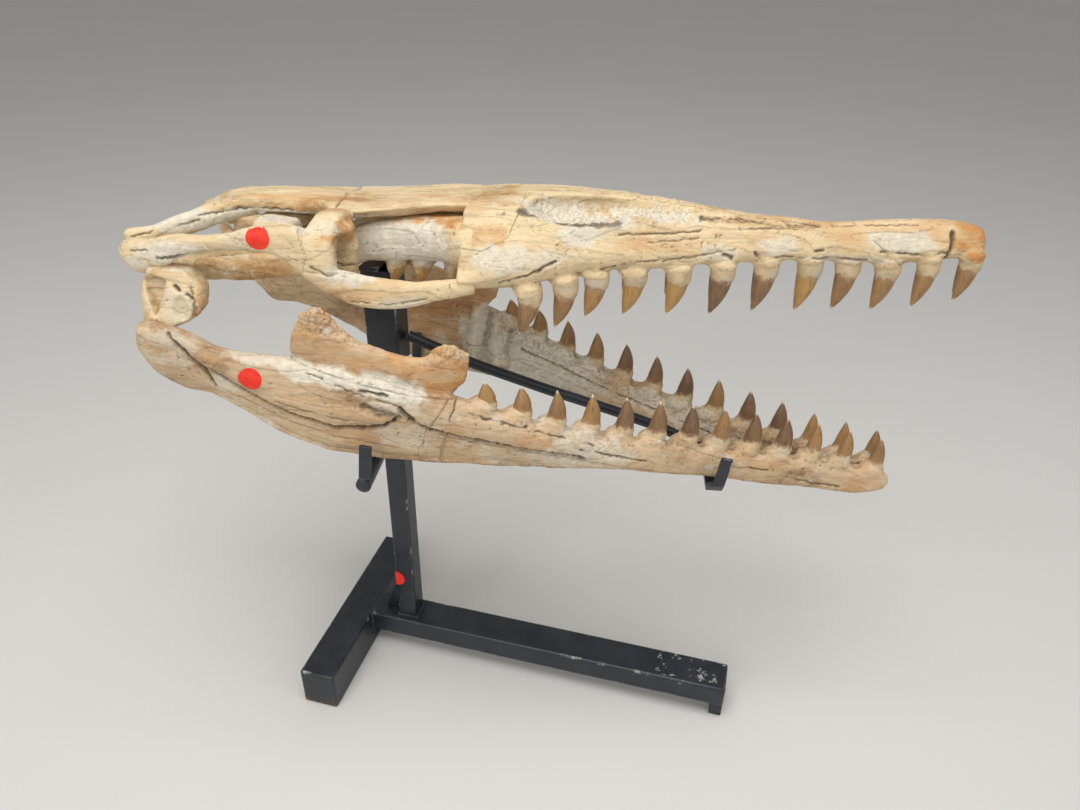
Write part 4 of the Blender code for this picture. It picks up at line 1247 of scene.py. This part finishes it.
JAW_PATCHES = {
    "plaster": (
        (-40, -120, 93, 44, 24, 8.5, 1.0), (6, -118, 93, 34, 24, 11.5, 1.0),
        (-112, -128, 96, 26, 20, 7, 0.7), (-75, -126, 97, 22, 20, 5, 0.8),
        (-176, -124, 92, 20, 24, 8, 0.5), (-130, -128, 62, 14, 20, 8, 0.7),
        (20, -118, 76, 22, 20, 9, 0.5), (30, -116, 46, 26, 20, 14, 0.4), (140, 76, 62, 92, 26, 30, 1.0),
        (300, 34, 62, 110, 18, 16, 0.7), (70, 92, 60, 26, 20, 40, 1.0), (140, -76, 60, 80, 16, 26, 0.7),
    ),
    "stain": (
        (-58, -118, 128, 30, 30, 24, 0.45), (46, -112, 118, 46, 30, 22, 0.75),
        (-5, -116, 108, 52, 30, 9, 0.6), (-58, 112, 124, 30, 30, 30, 0.4),
        (46, 106, 116, 46, 30, 26, 0.6), (-30, -118, 64, 50, 20, 10, 0.25),
        (-12, -118, 38, 22, 20, 12, 0.4), (66, -110, 66, 14, 20, 8, 0.5),
        (140, -98, 64, 18, 20, 8, 0.5), (330, -32, 62, 70, 20, 8, 0.35), (480, -8, 52, 30, 14, 14, 0.7),
        (10, 96, 70, 40, 20, 40, 0.5),
    ),
    # Painted shade in the wide recess on the outer face near the front of the long groove.
    "dark": (
        (8, -118, 70, 11, 14, 6, 0.55),
    ),
}


def lower_tooth_places(side):
    """(root, tip, radius) of each lower tooth of one side."""
    tops = [(s[0], s[2]) for s in RAMUS]
    for i in range(LOWER_TEETH):
        x = between(LOWER_TOOTH_X, i)
        row = between(JAW_ROW, x)
        y = side * max(row, 8.4)
        yield (x + 2, y, between(tops, x) - 1.5), (x - 2, y, LOWER_TIP_Z), 10.5 if row > 12 else 9.0


def ramus_shape(points, normals):
    """Waves at the sockets, rough matrix inside, lower bones behind the long groove, ragged coronoid."""
    x, y, z = points.T
    outward = normals[:, 1] * np.sign(y)
    top = column(RAMUS, 2, x)
    teeth = smooth_step(70, 90, x) * smooth_step(490, 470, x)
    rough = teeth * smooth_step(0.1, -0.5, outward) * smooth_step(top - 30, top - 12, z)
    over = z - np.interp(x, *np.transpose(GROOVE))
    outer = smooth_step(0.2, 0.7, outward) * smooth_step(-170, -140, x) * smooth_step(230, 150, x)
    step = smooth_step(3, -1.5, over) * 4.4 - smooth_step(2, 12, over) * smooth_step(34, 12, over) * 1.5
    height = rough * layered(points, 93, (7, 0, 1.5), (3, 1, 0.9)) - outer * step
    height += smooth_step(120, 134, z) * layered(points, 95, (6, 0, 2.0), (2.6, 1, 1.1))
    moved = normals * height[:, None]
    wave = teeth * smooth_step(top - 10, top - 1, z) * np.cos((x - 90) * 2 * np.pi / TOOTH_SPACING)
    moved[:, 2] += 1.3 * wave
    return moved


class MOSASAUR_OT_lower_jaw(bpy.types.Operator):
    """Six bones of each half of the lower jaw"""

    bl_idname = "mosasaur.lower_jaw"
    bl_label = "Lower Jaw"

    def execute(self, context):
        for side, mark in SIDES:
            whole = self.ramus(side)
            near, away = sorted((side * HALF_SEAM, side * FAR))
            for name, outline in JAW_REGIONS.items():
                mesh = boolean(whole, prism(outline, near, away), "INTERSECT")
                bone_piece(mesh, f"{name}_{mark}", JAW_LINES, JAW_PATCHES, SEEDS["ramus"], "jaw_bone")
        return {"FINISHED"}

    def ramus(self, side):
        """One half of the jaw, with a socket for the quadrate."""
        stations = []
        for x, low, top, wide, tuck in RAMUS:
            row = between(JAW_ROW, x)
            stations.append((x, side * (row + min(4.0, row / 10)), low, top, wide, -side * tuck))
        crest = [(x, side * between(JAW_ROW, x), low, top, wide) for x, low, top, wide in CORONOID]
        forms = [
            upright_loft(stations, power=2.6, ends=(5, 4), blur=10),
            upright_loft(crest, power=2.6, ends=(2, 2), blur=5),
        ]
        places = list(lower_tooth_places(side))
        for root, _, radius in places:
            forms.append(ball(root, (radius * 1.28, radius * 1.05, 8)))
        pits = []
        for (one, _, _), (other, _, _) in zip(places, places[1:]):
            x, y, z = ((a + b) / 2 for a, b in zip(one, other))
            pits.append(ball((x, y + side, z + 3), (5.5, 5, 6)))
        form = carved(forms, "ramus", [mesh_from(pits, "pits")])
        mesh = weathered([form], f"ramus_{side}", JAW_LINES, SEEDS["ramus"], shape=ramus_shape)
        socket = mesh_from([level_loft(quadrate_stations(side, 1.2), power=2.4)], "socket")
        socket.transform(JAW.inverted() @ CRANIUM)
        return boolean(mesh, socket, "DIFFERENCE")


# ---- Teeth -------------------------------------------------------------------------------

# Thickness along a tooth: share of its length, share of its radius.
TOOTH_PROFILE = (
    (0.0, 0.96), (0.2, 1.0), (0.33, 0.93), (0.39, 0.82), (0.55, 0.72), (0.75, 0.49), (0.9, 0.22),
    (1.0, 0.02),
)
BEND_BASE = 11.0  # a mean tooth radius, which turns the bend into a share


class GeometryNodes(Nodes):
    """A new tree that puts a form on many points, as real faces with a material."""

    def __init__(self, name, **sockets):
        super().__init__(bpy.data.node_groups.new(name, "GeometryNodeTree"))
        self.tree.is_modifier = True
        new_socket = self.tree.interface.new_socket
        new_socket("Geometry", in_out="OUTPUT", socket_type="NodeSocketGeometry")
        for label, kind in {"Geometry": "Geometry", **sockets, "Material": "Material"}.items():
            new_socket(label, in_out="INPUT", socket_type=f"NodeSocket{kind}")
        self.given = self.add("NodeGroupInput").outputs

    def scatter(self, points, form, rotation, scale):
        settings = {"Points": points, "Instance": form, "Rotation": rotation, "Scale": scale}
        made = self.add("GeometryNodeInstanceOnPoints", settings).outputs[0]
        made = self.add("GeometryNodeRealizeInstances", {"Geometry": made}).outputs[0]
        settings = {"Geometry": made, "Material": self.given["Material"]}
        made = self.add("GeometryNodeSetMaterial", settings).outputs[0]
        self.add("NodeGroupOutput", {"Geometry": made})
        return self.tree


def tooth_tree():
    """Stands a bent, collared cone on every point, along its axis, at its own length and thickness."""
    n = GeometryNodes("standing_teeth", Bend="Float")
    sizes = {"Vertices": 26, "Side Segments": 24, "Radius": 1.0, "Depth": 1.0}
    cone = n.add("GeometryNodeMeshCylinder", sizes).outputs[0]
    place = n.add("ShaderNodeSeparateXYZ", {0: n.add("GeometryNodeInputPosition").outputs[0]}).outputs
    height = n.math("ADD", place[2], 0.5)
    curve = n.add("ShaderNodeFloatCurve", {"Value": height})
    points = curve.mapping.curves[0].points
    while len(points) < len(TOOTH_PROFILE):
        points.new(0.5, 0.5)
    for point, at in zip(points, TOOTH_PROFILE):
        point.location = at
    curve.mapping.update()
    size = curve.outputs[0]
    bow = n.times(n.times(n.times(height, n.math("SUBTRACT", 1.0, height)), 4.0), n.given["Bend"])
    x, y = n.math("MULTIPLY_ADD", place[0], size, bow), n.times(place[1], size)
    where = n.add("ShaderNodeCombineXYZ", {0: x, 1: y, 2: height}).outputs[0]
    settings = {"Geometry": cone, "Name": "height", "Value": height}
    kept = n.add("GeometryNodeStoreNamedAttribute", settings, data_type="FLOAT").outputs[0]
    shaped = n.add("GeometryNodeSetPosition", {"Geometry": kept, "Position": where}).outputs[0]
    axis, fore, scale = (
        n.add("GeometryNodeInputNamedAttribute", {"Name": name}, data_type="FLOAT_VECTOR").outputs[0]
        for name in ("axis", "fore", "size")
    )
    align = "FunctionNodeAlignRotationToVector"
    stood = n.add(align, {"Vector": axis}, axis="Z").outputs[0]
    faced = n.add(align, {"Rotation": stood, "Vector": fore}, axis="X", pivot_axis="Z").outputs[0]
    return n.scatter(n.given["Geometry"], shaped, faced, scale)


def dressed(obj, tree, **inputs):
    """The plain mesh that a geometry tree makes on an object, which is removed."""
    modifier = obj.modifiers.new("Tree", "NODES")
    modifier.node_group = tree
    for item in tree.interface.items_tree:
        if item.in_out == "INPUT" and item.name in inputs:
            modifier[item.identifier] = inputs[item.name]
    return evaluated(obj)


def tooth_points(places, tints, sink):
    """An object of one point for each tooth, with its axis, size and tint."""
    roots, axes, fores, sizes = [], [], [], []
    for root, tip, radius in places:
        root, tip = Vector(root), Vector(tip)
        axis = (tip - root).normalized()
        roots.append(tuple(root - axis * sink))
        axes.append(axis)
        fores.append((Vector((1, 0, 0)) - axis * axis.x).normalized())
        sizes.append((radius, radius * 0.85, (tip - root).length + sink))
    mesh = bpy.data.meshes.new("tooth_points")
    mesh.from_pydata(roots, [], [])
    for name, values in (("axis", axes), ("fore", fores), ("size", sizes)):
        kept = mesh.attributes.new(name, "FLOAT_VECTOR", "POINT")
        kept.data.foreach_set("vector", np.array([tuple(v) for v in values], np.float32).ravel())
    kept = mesh.attributes.new("tint", "FLOAT", "POINT")
    kept.data.foreach_set("value", np.array(tints, np.float32))
    return linked("tooth_points", mesh)


def add_teeth(name, places, tints, nodes, slot="fossil_bone", sink=7.0):
    tree = bpy.data.node_groups.get("standing_teeth") or tooth_tree()
    bend = bpy.context.scene.mosasaur_teeth.bend / MM / BEND_BASE
    points = tooth_points(places, tints, sink)
    mesh = dressed(points, tree, Bend=bend, Material=material("tooth_enamel"))
    place_piece(mesh, name, BONE_SLOTS[slot][0], "tooth_enamel", nodes, sharp=60)


UPPER_TINTS = (0.55, 0.55, 0.25, 0.1, 0.12, 0.85, 0.75, 0.15, 0.6, 0.5, 0.45, 0.55)
LOWER_TINTS = (0.35, 0.5, 0.6, 0.45, 0.8, 0.75, 0.9, 0.5, 0.85, 0.85, 0.4, 0.45, 0.6)
PALATE_TINTS = (0.1, 0.05, 0.0)


class MOSASAUR_OT_upper_teeth(bpy.types.Operator):
    """Teeth of the upper jaw and of the palate"""

    bl_idname = "mosasaur.upper_teeth"
    bl_label = "Upper Teeth"

    def execute(self, context):
        for side, mark in SIDES:
            nodes = (f"maxilla_{mark}", "premaxilla")
            add_teeth(f"upper_teeth_{mark}", upper_tooth_places(side), UPPER_TINTS, nodes)
            y = side * PTERYGOID_TOOTH_Y
            places = [((x + 3, y, 76), (x - 2, y, tip), 9) for x, tip in PTERYGOID_TEETH]
            add_teeth(f"palate_teeth_{mark}", places, PALATE_TINTS, [f"pterygoid_{mark}"], sink=5.0)
        return {"FINISHED"}


class MOSASAUR_OT_lower_teeth(bpy.types.Operator):
    """Teeth of the lower jaw"""

    bl_idname = "mosasaur.lower_teeth"
    bl_label = "Lower Teeth"

    def execute(self, context):
        for side, mark in SIDES:
            places = lower_tooth_places(side)
            add_teeth(f"lower_teeth_{mark}", places, LOWER_TINTS, [f"dentary_{mark}"], "jaw_bone")
        return {"FINISHED"}


# ---- Stand -------------------------------------------------------------------------------

BAR_END = 374.7  # the long bar's far end
BORDER = 1.4  # width of the worn border along a bar's edges


def rounded_bar(low, high, edge, cuts):
    """A bar with rounded edges and a narrow border on each face, and the points inside those borders."""
    form = bmesh.new()
    bmesh.ops.create_cube(form, size=1.0)
    size = [b - a for a, b in zip(low, high)]
    middle = [(a + b) / 2 for a, b in zip(low, high)]
    bmesh.ops.scale(form, vec=size, verts=form.verts)
    axis = size.index(max(size))
    way = Vector([float(k == axis) for k in range(3)])
    for k in range(1, cuts):
        whole = form.verts[:] + form.edges[:] + form.faces[:]
        spot = way * (size[axis] * k / cuts - size[axis] / 2)
        bmesh.ops.bisect_plane(form, geom=whole, plane_co=spot, plane_no=way)
    edges = [e for e in form.edges if e.calc_face_angle(0) > 0.5]
    bmesh.ops.bevel(form, geom=edges, offset=edge, segments=3, profile=0.5, affect="EDGES")
    big = [f for f in form.faces if f.calc_area() > 0.2 * min(size) ** 2 or len(f.verts) > 4]
    flat = [f for f in big if max(abs(c) for c in f.normal) > 0.999]
    bmesh.ops.inset_region(form, faces=flat, thickness=BORDER, use_even_offset=True, use_boundary=True)
    bmesh.ops.translate(form, vec=middle, verts=form.verts)
    return form, {v for f in flat for v in f.verts}


def add_steel(mesh, name, place, worn, sharp, chips=None, rust=None):
    """Places a steel piece; worn is 1 at its bare edges, chips and rust are functions of the points."""
    points, _ = read_points(mesh)
    marks = (mark(points) if mark else np.zeros(len(points)) for mark in (chips, rust))
    write_colours(mesh, "wear", worn, *marks)
    place_piece(mesh, f"{name}_steel", place, "worn_black_paint", [name], sharp)


def steel_bar(name, low, high, place, edge, cuts=1, chips=None, rust=None):
    form, inner = rounded_bar(low, high, edge, cuts)
    worn = np.array([0.0 if v in inner else 1.0 for v in form.verts])
    add_steel(mesh_of(form, name), name, place, worn, sharp=40, chips=chips, rust=rust)


def steel_form(name, form, place, edge=0.0, sharp=50):
    """A steel piece from a loft or rings; edge bevels it."""
    mesh = mesh_from([form], name)
    if edge:
        mesh = with_modifier(mesh, "BEVEL", width=edge, segments=3, limit_method="ANGLE")
    add_steel(mesh, name, place, np.full(len(mesh.vertices), 0.35), sharp)


def tilted(foot, tilt):
    return Matrix.Translation(foot) @ Matrix.Rotation(math.radians(tilt), 4, "Y")


# Plain bars: name, low corner, high corner, frame, edge rounding and lengthwise cuts.
UPRIGHTS = (
    ("stand_post", (-11, -11, 48.3), (11, 11, 392), BASE, 1.6, 10),
    ("stand_head", (-16.5, -13.5, 392.3), (16.5, 13.5, 491), BASE, 1.6, 4),
    ("stand_top_plate", (-13, -38, 63.6), (4.5, 38, 67.6), CRANIUM, 0.8),
)
TUBE_TABS = (
    ("stand_tube_tab_R", (-5.5, -1.5, 0), (5.5, 1.5, 36), tilted((68, -130, 342.3), 6), 0.7),
    ("stand_tube_tab_L", (-5, -1.5, 0), (5, 1.5, 44), tilted((66, 92, 330), 4), 0.7),
)
STRIP_TABS = (
    ("stand_strip_tab_R", (-5.5, -1.5, 0), (5.5, 1.5, 30), tilted((389, -62, 313), 8), 0.7),
    ("stand_strip_tab_L", (-5.5, -1.5, 0), (5.5, 1.5, 28), tilted((389, 62, 306), 8), 0.7),
)
BRACE = ((-11.3, 48.3), (-11.3, 92), (-14, 92), (-30, 51.5), (-30, 48.3))  # x, z
CROSS_TUBE = np.array((66, -133, 335.0)), np.array((66, 133, 319.5))
FRONT_STRIP = ((387, -60, 311), (387, -51, 298.7), (387, 51, 292.2), (387, 60, 304))
ROD = ((83, 0, 419.5), (144, 0, 393), (219, 0, 368), (290, 0, 347), (340, 0, 330), (386, 0, 304))


def low_rust(points):
    """Rust near the floor, at the crossbar's near end."""
    return 0.9 * smooth_step(30, 5, points[:, 2]) * smooth_step(-40, -120, points[:, 1])


def end_chips(points):
    """Chipped paint on top of the long bar, towards its end."""
    return smooth_step(215, 300, points[:, 0]) * smooth_step(36, 44, points[:, 2])


def end_rust(points):
    """Bare, rusty metal on the long bar's cut end."""
    return smooth_step(BAR_END - 6, BAR_END - 1, points[:, 0])


def even_rust(points):
    return np.full(len(points), 0.45)


class MOSASAUR_OT_stand(bpy.types.Operator):
    """Square bars, post, head, rod and the supports of the lower jaw"""

    bl_idname = "mosasaur.stand"
    bl_label = "Steel Stand"

    def execute(self, context):
        edge = context.scene.mosasaur_stand.edge / MM
        steel_bar("stand_crossbar", (-83.3, -121.3, 0), (-43.3, 114.7, 48), BASE, edge, 8, rust=low_rust)
        corner = (BAR_END, 19.8, 48)
        steel_bar("stand_long_bar", (-43, -19.6, 21.6), corner, BASE, edge, 16, end_chips, end_rust)
        corner = (BAR_END, 19.8, 21.3)
        steel_bar("stand_foot", (BAR_END - 14, -14.6, 0), corner, BASE, 1.0, rust=even_rust)
        for bar in UPRIGHTS:
            steel_bar(*bar)
        rings = np.array([[(x, y, z) for x, z in BRACE] for y in (-2, 2)])
        steel_form("stand_brace", ring_form(rings), BASE, edge=0.5, sharp=30)
        near, away = CROSS_TUBE
        for mark, tip, start in (("R", near, 0.46), ("L", away, 0.54)):
            inner = near + (away - near) * start
            rows = [(*(tip + (inner - tip) * t), 7, 7) for t in (0, 0.5, 1)]
            steel_form(f"stand_cross_tube_{mark}", loft(rows, sides=32, power=2.0, ends=(1.2, 0)), WORLD)
        for tab in TUBE_TABS:
            steel_bar(*tab)
        corners = np.array([(-8, 0, -2.5), (8, 0, -2.5), (8, 0, 2.5), (-8, 0, 2.5)])
        rings = np.array([corners + place for place in FRONT_STRIP])
        steel_form("stand_front_strip", ring_form(rings), WORLD, edge=0.8, sharp=30)
        for tab in STRIP_TABS:
            steel_bar(*tab)
        rod = loft([(*place, 5.2, 5.2) for place in ROD], sides=28, power=2.0, ends=(0, 1.5), blur=14)
        steel_form("stand_rod", rod, WORLD)
        return {"FINISHED"}


def weld_tree():
    """Overlapping drops along a line, like a weld bead."""
    n = GeometryNodes("weld_drops", Spacing="Float", Width="Float", Seed="Int")
    line = n.add("GeometryNodeMeshToCurve", {0: n.given["Geometry"]}).outputs[0]
    dots = n.add("GeometryNodeCurveToPoints", {"Curve": line, "Length": n.given["Spacing"]}, mode="LENGTH")
    drop = n.add("GeometryNodeMeshIcoSphere", {"Radius": 0.5, "Subdivisions": 3}).outputs[0]
    share = n.add("FunctionNodeRandomValue", {2: 0.8, 3: 1.15, "Seed": n.given["Seed"]}, data_type="FLOAT")
    size = n.times(share.outputs[1], n.given["Width"])
    scale = n.add("ShaderNodeVectorMath", {0: (1, 0.9, 0.7), "Scale": size}, operation="SCALE").outputs[0]
    return n.scatter(dots.outputs["Points"], drop, dots.outputs["Rotation"], scale)


# Weld lines in the base frame: name, node beside it, and points.
POST_RING = ((-11, -11), (11, -11), (11, 11), (-11, 11), (-11, -11))
BAR_JOINT = ((-43, 19.8, 24), (-43, 19.8, 46.5), (-43, -19.6, 46.5), (-43, -19.6, 24))
WELDS = (
    ("post_foot", "stand_post", [(x, y, 48) for x, y in POST_RING]),
    ("bar_joint", "stand_long_bar", BAR_JOINT),
    ("head_foot", "stand_head", [(x, y, 392) for x, y in POST_RING]),
    ("foot_joint", "stand_foot", ((360, -14.6, 21.4), (360, 19.8, 21.4))),
)
DROP_SPACING = 2.6


class MOSASAUR_OT_welds(bpy.types.Operator):
    """Weld beads where the steel pieces meet"""

    bl_idname = "mosasaur.welds"
    bl_label = "Weld Beads"

    def execute(self, context):
        tree = weld_tree()
        width = context.scene.mosasaur_stand.weld / MM
        paint = material("worn_black_paint")
        for seed, (name, node, line) in enumerate(WELDS):
            mesh = bpy.data.meshes.new(name)
            mesh.from_pydata(line, [(i, i + 1) for i in range(len(line) - 1)], [])
            obj = linked(name, mesh)
            mesh = dressed(obj, tree, Spacing=DROP_SPACING, Width=width, Seed=seed, Material=paint)
            none = np.zeros(len(mesh.vertices))
            write_colours(mesh, "wear", none + 0.9, none, none)
            place_piece(mesh, f"weld_{name}", BASE, "worn_black_paint", [node])
        return {"FINISHED"}


# ---- Stickers ----------------------------------------------------------------------------

STICKER_RADIUS = 9.8
STICKER_RINGS, STICKER_SIDES = 6, 40


def sticker_form(surface, thick=0.45):
    """A thin round body laid on a surface, given as a function of the two distances from its centre."""
    rings, sides = STICKER_RINGS, STICKER_SIDES
    top, under = [], []
    for k in range(rings + 1):
        for i in range(sides):
            angle = 2 * math.pi * i / sides
            a, b = (STICKER_RADIUS * k / rings * f(angle) for f in (math.cos, math.sin))
            point, out = surface(a, b)
            top.append(point + out * thick)
            under.append(point - out * 1.2)
    form = bmesh.new()
    upper, lower = ([form.verts.new(p) for p in points] for points in (top, under))
    pairs = [(i, (i + 1) % sides) for i in range(sides)]
    for verts, turn in ((upper, 1), (lower, -1)):
        for k in range(sides, rings * sides, sides):
            for i, j in pairs:
                quad = (verts[k + i], verts[k + j], verts[k + sides + j], verts[k + sides + i])
                form.faces.new(quad[::turn])
        form.faces.new(verts[sides : 2 * sides])
    rim = rings * sides
    for i, j in pairs:
        form.faces.new((upper[rim + i], upper[rim + j], lower[rim + j], lower[rim + i]))
    loose = [v for v in form.verts if not v.link_faces]
    bmesh.ops.delete(form, geom=loose, context="VERTS")
    return mesh_of(form, "sticker")


def bone_surface(carrier, place, spot):
    """The outer surface of a placed bone round a spot of its frame, in millimetres of the row frame."""
    tree = BVHTree.FromObject(bpy.data.objects[carrier], bpy.context.evaluated_depsgraph_get())
    into = Matrix.Scale(MM, 4) @ place
    outward = (into.to_3x3() @ Vector((0, -1, 0))).normalized()
    across = (into.to_3x3() @ Vector((1, 0, 0))).normalized()
    upward = across.cross(outward).normalized()
    middle = into @ Vector(spot)

    def surface(a, b):
        shift = (across * a + upward * b) * MM
        hit = tree.ray_cast(middle + shift + outward * 0.02, -outward)[0]
        if hit is None or (hit - middle).dot(outward) < -0.006:
            hit = tree.find_nearest(middle + shift * 0.97)[0]
        return hit / MM, outward

    return surface


def post_surface(a, b):
    """The post's front left corner, which the sticker folds round."""
    a += 1.0
    if a < 0:
        return Vector((-11, -11 - a, 106 + b)), Vector((-1, 0, 0))
    return Vector((-11 + a, -11, 106 + b)), Vector((0, -1, 0))


class MOSASAUR_OT_stickers(bpy.types.Operator):
    """Three plain red stickers, on the cheek, the lower jaw and the post"""

    bl_idname = "mosasaur.stickers"
    bl_label = "Stickers"

    def execute(self, context):
        spots = (
            ("cheek", "temporal_arch_R", "fossil_bone", (-76, -100, 106)),
            ("jaw", "surangular_R", "jaw_bone", (-105, -129, 77)),
        )
        for name, node, slot, spot in spots:
            mesh = sticker_form(bone_surface(f"{node}_bone", BONE_SLOTS[slot][0], spot))
            place_piece(mesh, f"sticker_{name}", WORLD, "red_sticker", [node], 50)
        mesh = sticker_form(post_surface, thick=0.5)
        place_piece(mesh, "sticker_post", BASE, "red_sticker", ["stand_post"], 50)
        return {"FINISHED"}


# ---- Stage -------------------------------------------------------------------------------

CAMERA_PITCH, CAMERA_YAW, CAMERA_ROLL = (math.radians(a) for a in (32.29, -4.5, -1.27))
CAMERA_PLACE = (0.2687097, -0.7173412, 0.804)
SENSOR_WIDTH = 36.0
FOCAL_SHARE = 850 / 1080  # focal length over the sensor's width


def camera_matrix():
    pitch, yaw, roll = CAMERA_PITCH, CAMERA_YAW, CAMERA_ROLL
    flat = Vector((math.sin(yaw), math.cos(yaw), 0)) * math.cos(pitch)
    ahead = flat - Vector((0, 0, math.sin(pitch)))
    right = Vector((math.cos(yaw), -math.sin(yaw), 0))
    down = ahead.cross(right)
    across = right * math.cos(roll) + down * math.sin(roll)
    down = down * math.cos(roll) - right * math.sin(roll)
    turned = Matrix((across, -down, -ahead)).transposed().to_4x4()
    turned.translation = CAMERA_PLACE
    return turned


def area_light(name, place, target, size, power, tint=(1, 1, 1)):
    light = bpy.data.lights.new(name, "AREA")
    light.size = size
    light.energy = power
    light.color = tint
    obj = linked(name, light)
    obj.location = place
    obj.rotation_euler = (Vector(target) - Vector(place)).to_track_quat("-Z", "Y").to_euler()


class MOSASAUR_OT_stage(bpy.types.Operator):
    """Floor, soft light and camera"""

    bl_idname = "mosasaur.stage"
    bl_label = "Stage"

    def execute(self, context):
        form = bmesh.new()
        bmesh.ops.create_grid(form, x_segments=2, y_segments=2, size=14.0)
        bmesh.ops.translate(form, vec=(0, 0, -0.0002), verts=form.verts)
        mesh = bpy.data.meshes.new("floor")
        form.to_mesh(mesh)
        form.free()
        mesh.materials.append(material("pale_floor"))
        floor = linked("floor", mesh)
        power = context.scene.mosasaur_stage.light
        area_light("overhead_light", (0.1, -0.5, 2.3), (0.15, 0, 0.4), 1.5, power, (1.0, 0.985, 0.96))
        area_light("front_light", (-0.7, -2.2, 1.5), (0.15, 0, 0.35), 1.6, power * 0.62, (1.0, 0.99, 0.98))
        area_light("side_light", (2.2, -0.9, 1.4), (0.15, 0, 0.35), 1.4, power * 0.25)
        world = bpy.data.worlds.new("soft_world")
        world.use_nodes = True
        shine = world.node_tree.nodes["Background"].inputs
        shine[0].default_value = (0.93, 0.92, 0.90, 1)
        shine[1].default_value = 0.36
        context.scene.world = world
        context.scene.view_settings.view_transform = "Standard"
        camera = bpy.data.cameras.new("camera")
        camera.sensor_width = SENSOR_WIDTH
        camera.lens = SENSOR_WIDTH * FOCAL_SHARE
        camera.clip_end = 60.0
        obj = linked("camera", camera)
        obj.matrix_world = camera_matrix()
        context.scene.camera = obj
        return {"FINISHED"}


# ---- Add-on ------------------------------------------------------------------------------

STEPS = (
    MOSASAUR_OT_stage,
    MOSASAUR_OT_snout,
    MOSASAUR_OT_skull_roof,
    MOSASAUR_OT_cheeks,
    MOSASAUR_OT_braincase,
    MOSASAUR_OT_lower_jaw,
    MOSASAUR_OT_upper_teeth,
    MOSASAUR_OT_lower_teeth,
    MOSASAUR_OT_stand,
    MOSASAUR_OT_welds,
    MOSASAUR_OT_stickers,
)
SETTINGS = {
    "mosasaur_bone": MosasaurBoneSettings,
    "mosasaur_teeth": MosasaurToothSettings,
    "mosasaur_stand": MosasaurStandSettings,
    "mosasaur_stage": MosasaurStageSettings,
}


class MOSASAUR_PT_panel(bpy.types.Panel):
    """Settings and building steps of the mounted skull"""

    bl_label = "Mosasaur Skull"
    bl_idname = "MOSASAUR_PT_panel"
    bl_space_type = "VIEW_3D"
    bl_region_type = "UI"
    bl_category = "Mosasaur"

    def draw(self, context):
        for key, kind in SETTINGS.items():
            box = self.layout.box()
            for name in kind.__annotations__:
                box.prop(getattr(context.scene, key), name)
        for step in STEPS:
            self.layout.operator(step.bl_idname)


def register():
    for kind in (*SETTINGS.values(), *STEPS, MOSASAUR_PT_panel):
        bpy.utils.register_class(kind)
    for key, kind in SETTINGS.items():
        setattr(bpy.types.Scene, key, bpy.props.PointerProperty(type=kind))


def unregister():
    for key in SETTINGS:
        delattr(bpy.types.Scene, key)
    for kind in (MOSASAUR_PT_panel, *reversed(STEPS), *SETTINGS.values()):
        bpy.utils.unregister_class(kind)


def main():
    register()
    for obj in [o for o in bpy.data.objects if o.type in {"CAMERA", "LIGHT"}]:
        bpy.data.objects.remove(obj)
    for step in STEPS:
        group, name = step.bl_idname.split(".")
        getattr(getattr(bpy.ops, group), name)()


if __name__ == "__main__":
    main()
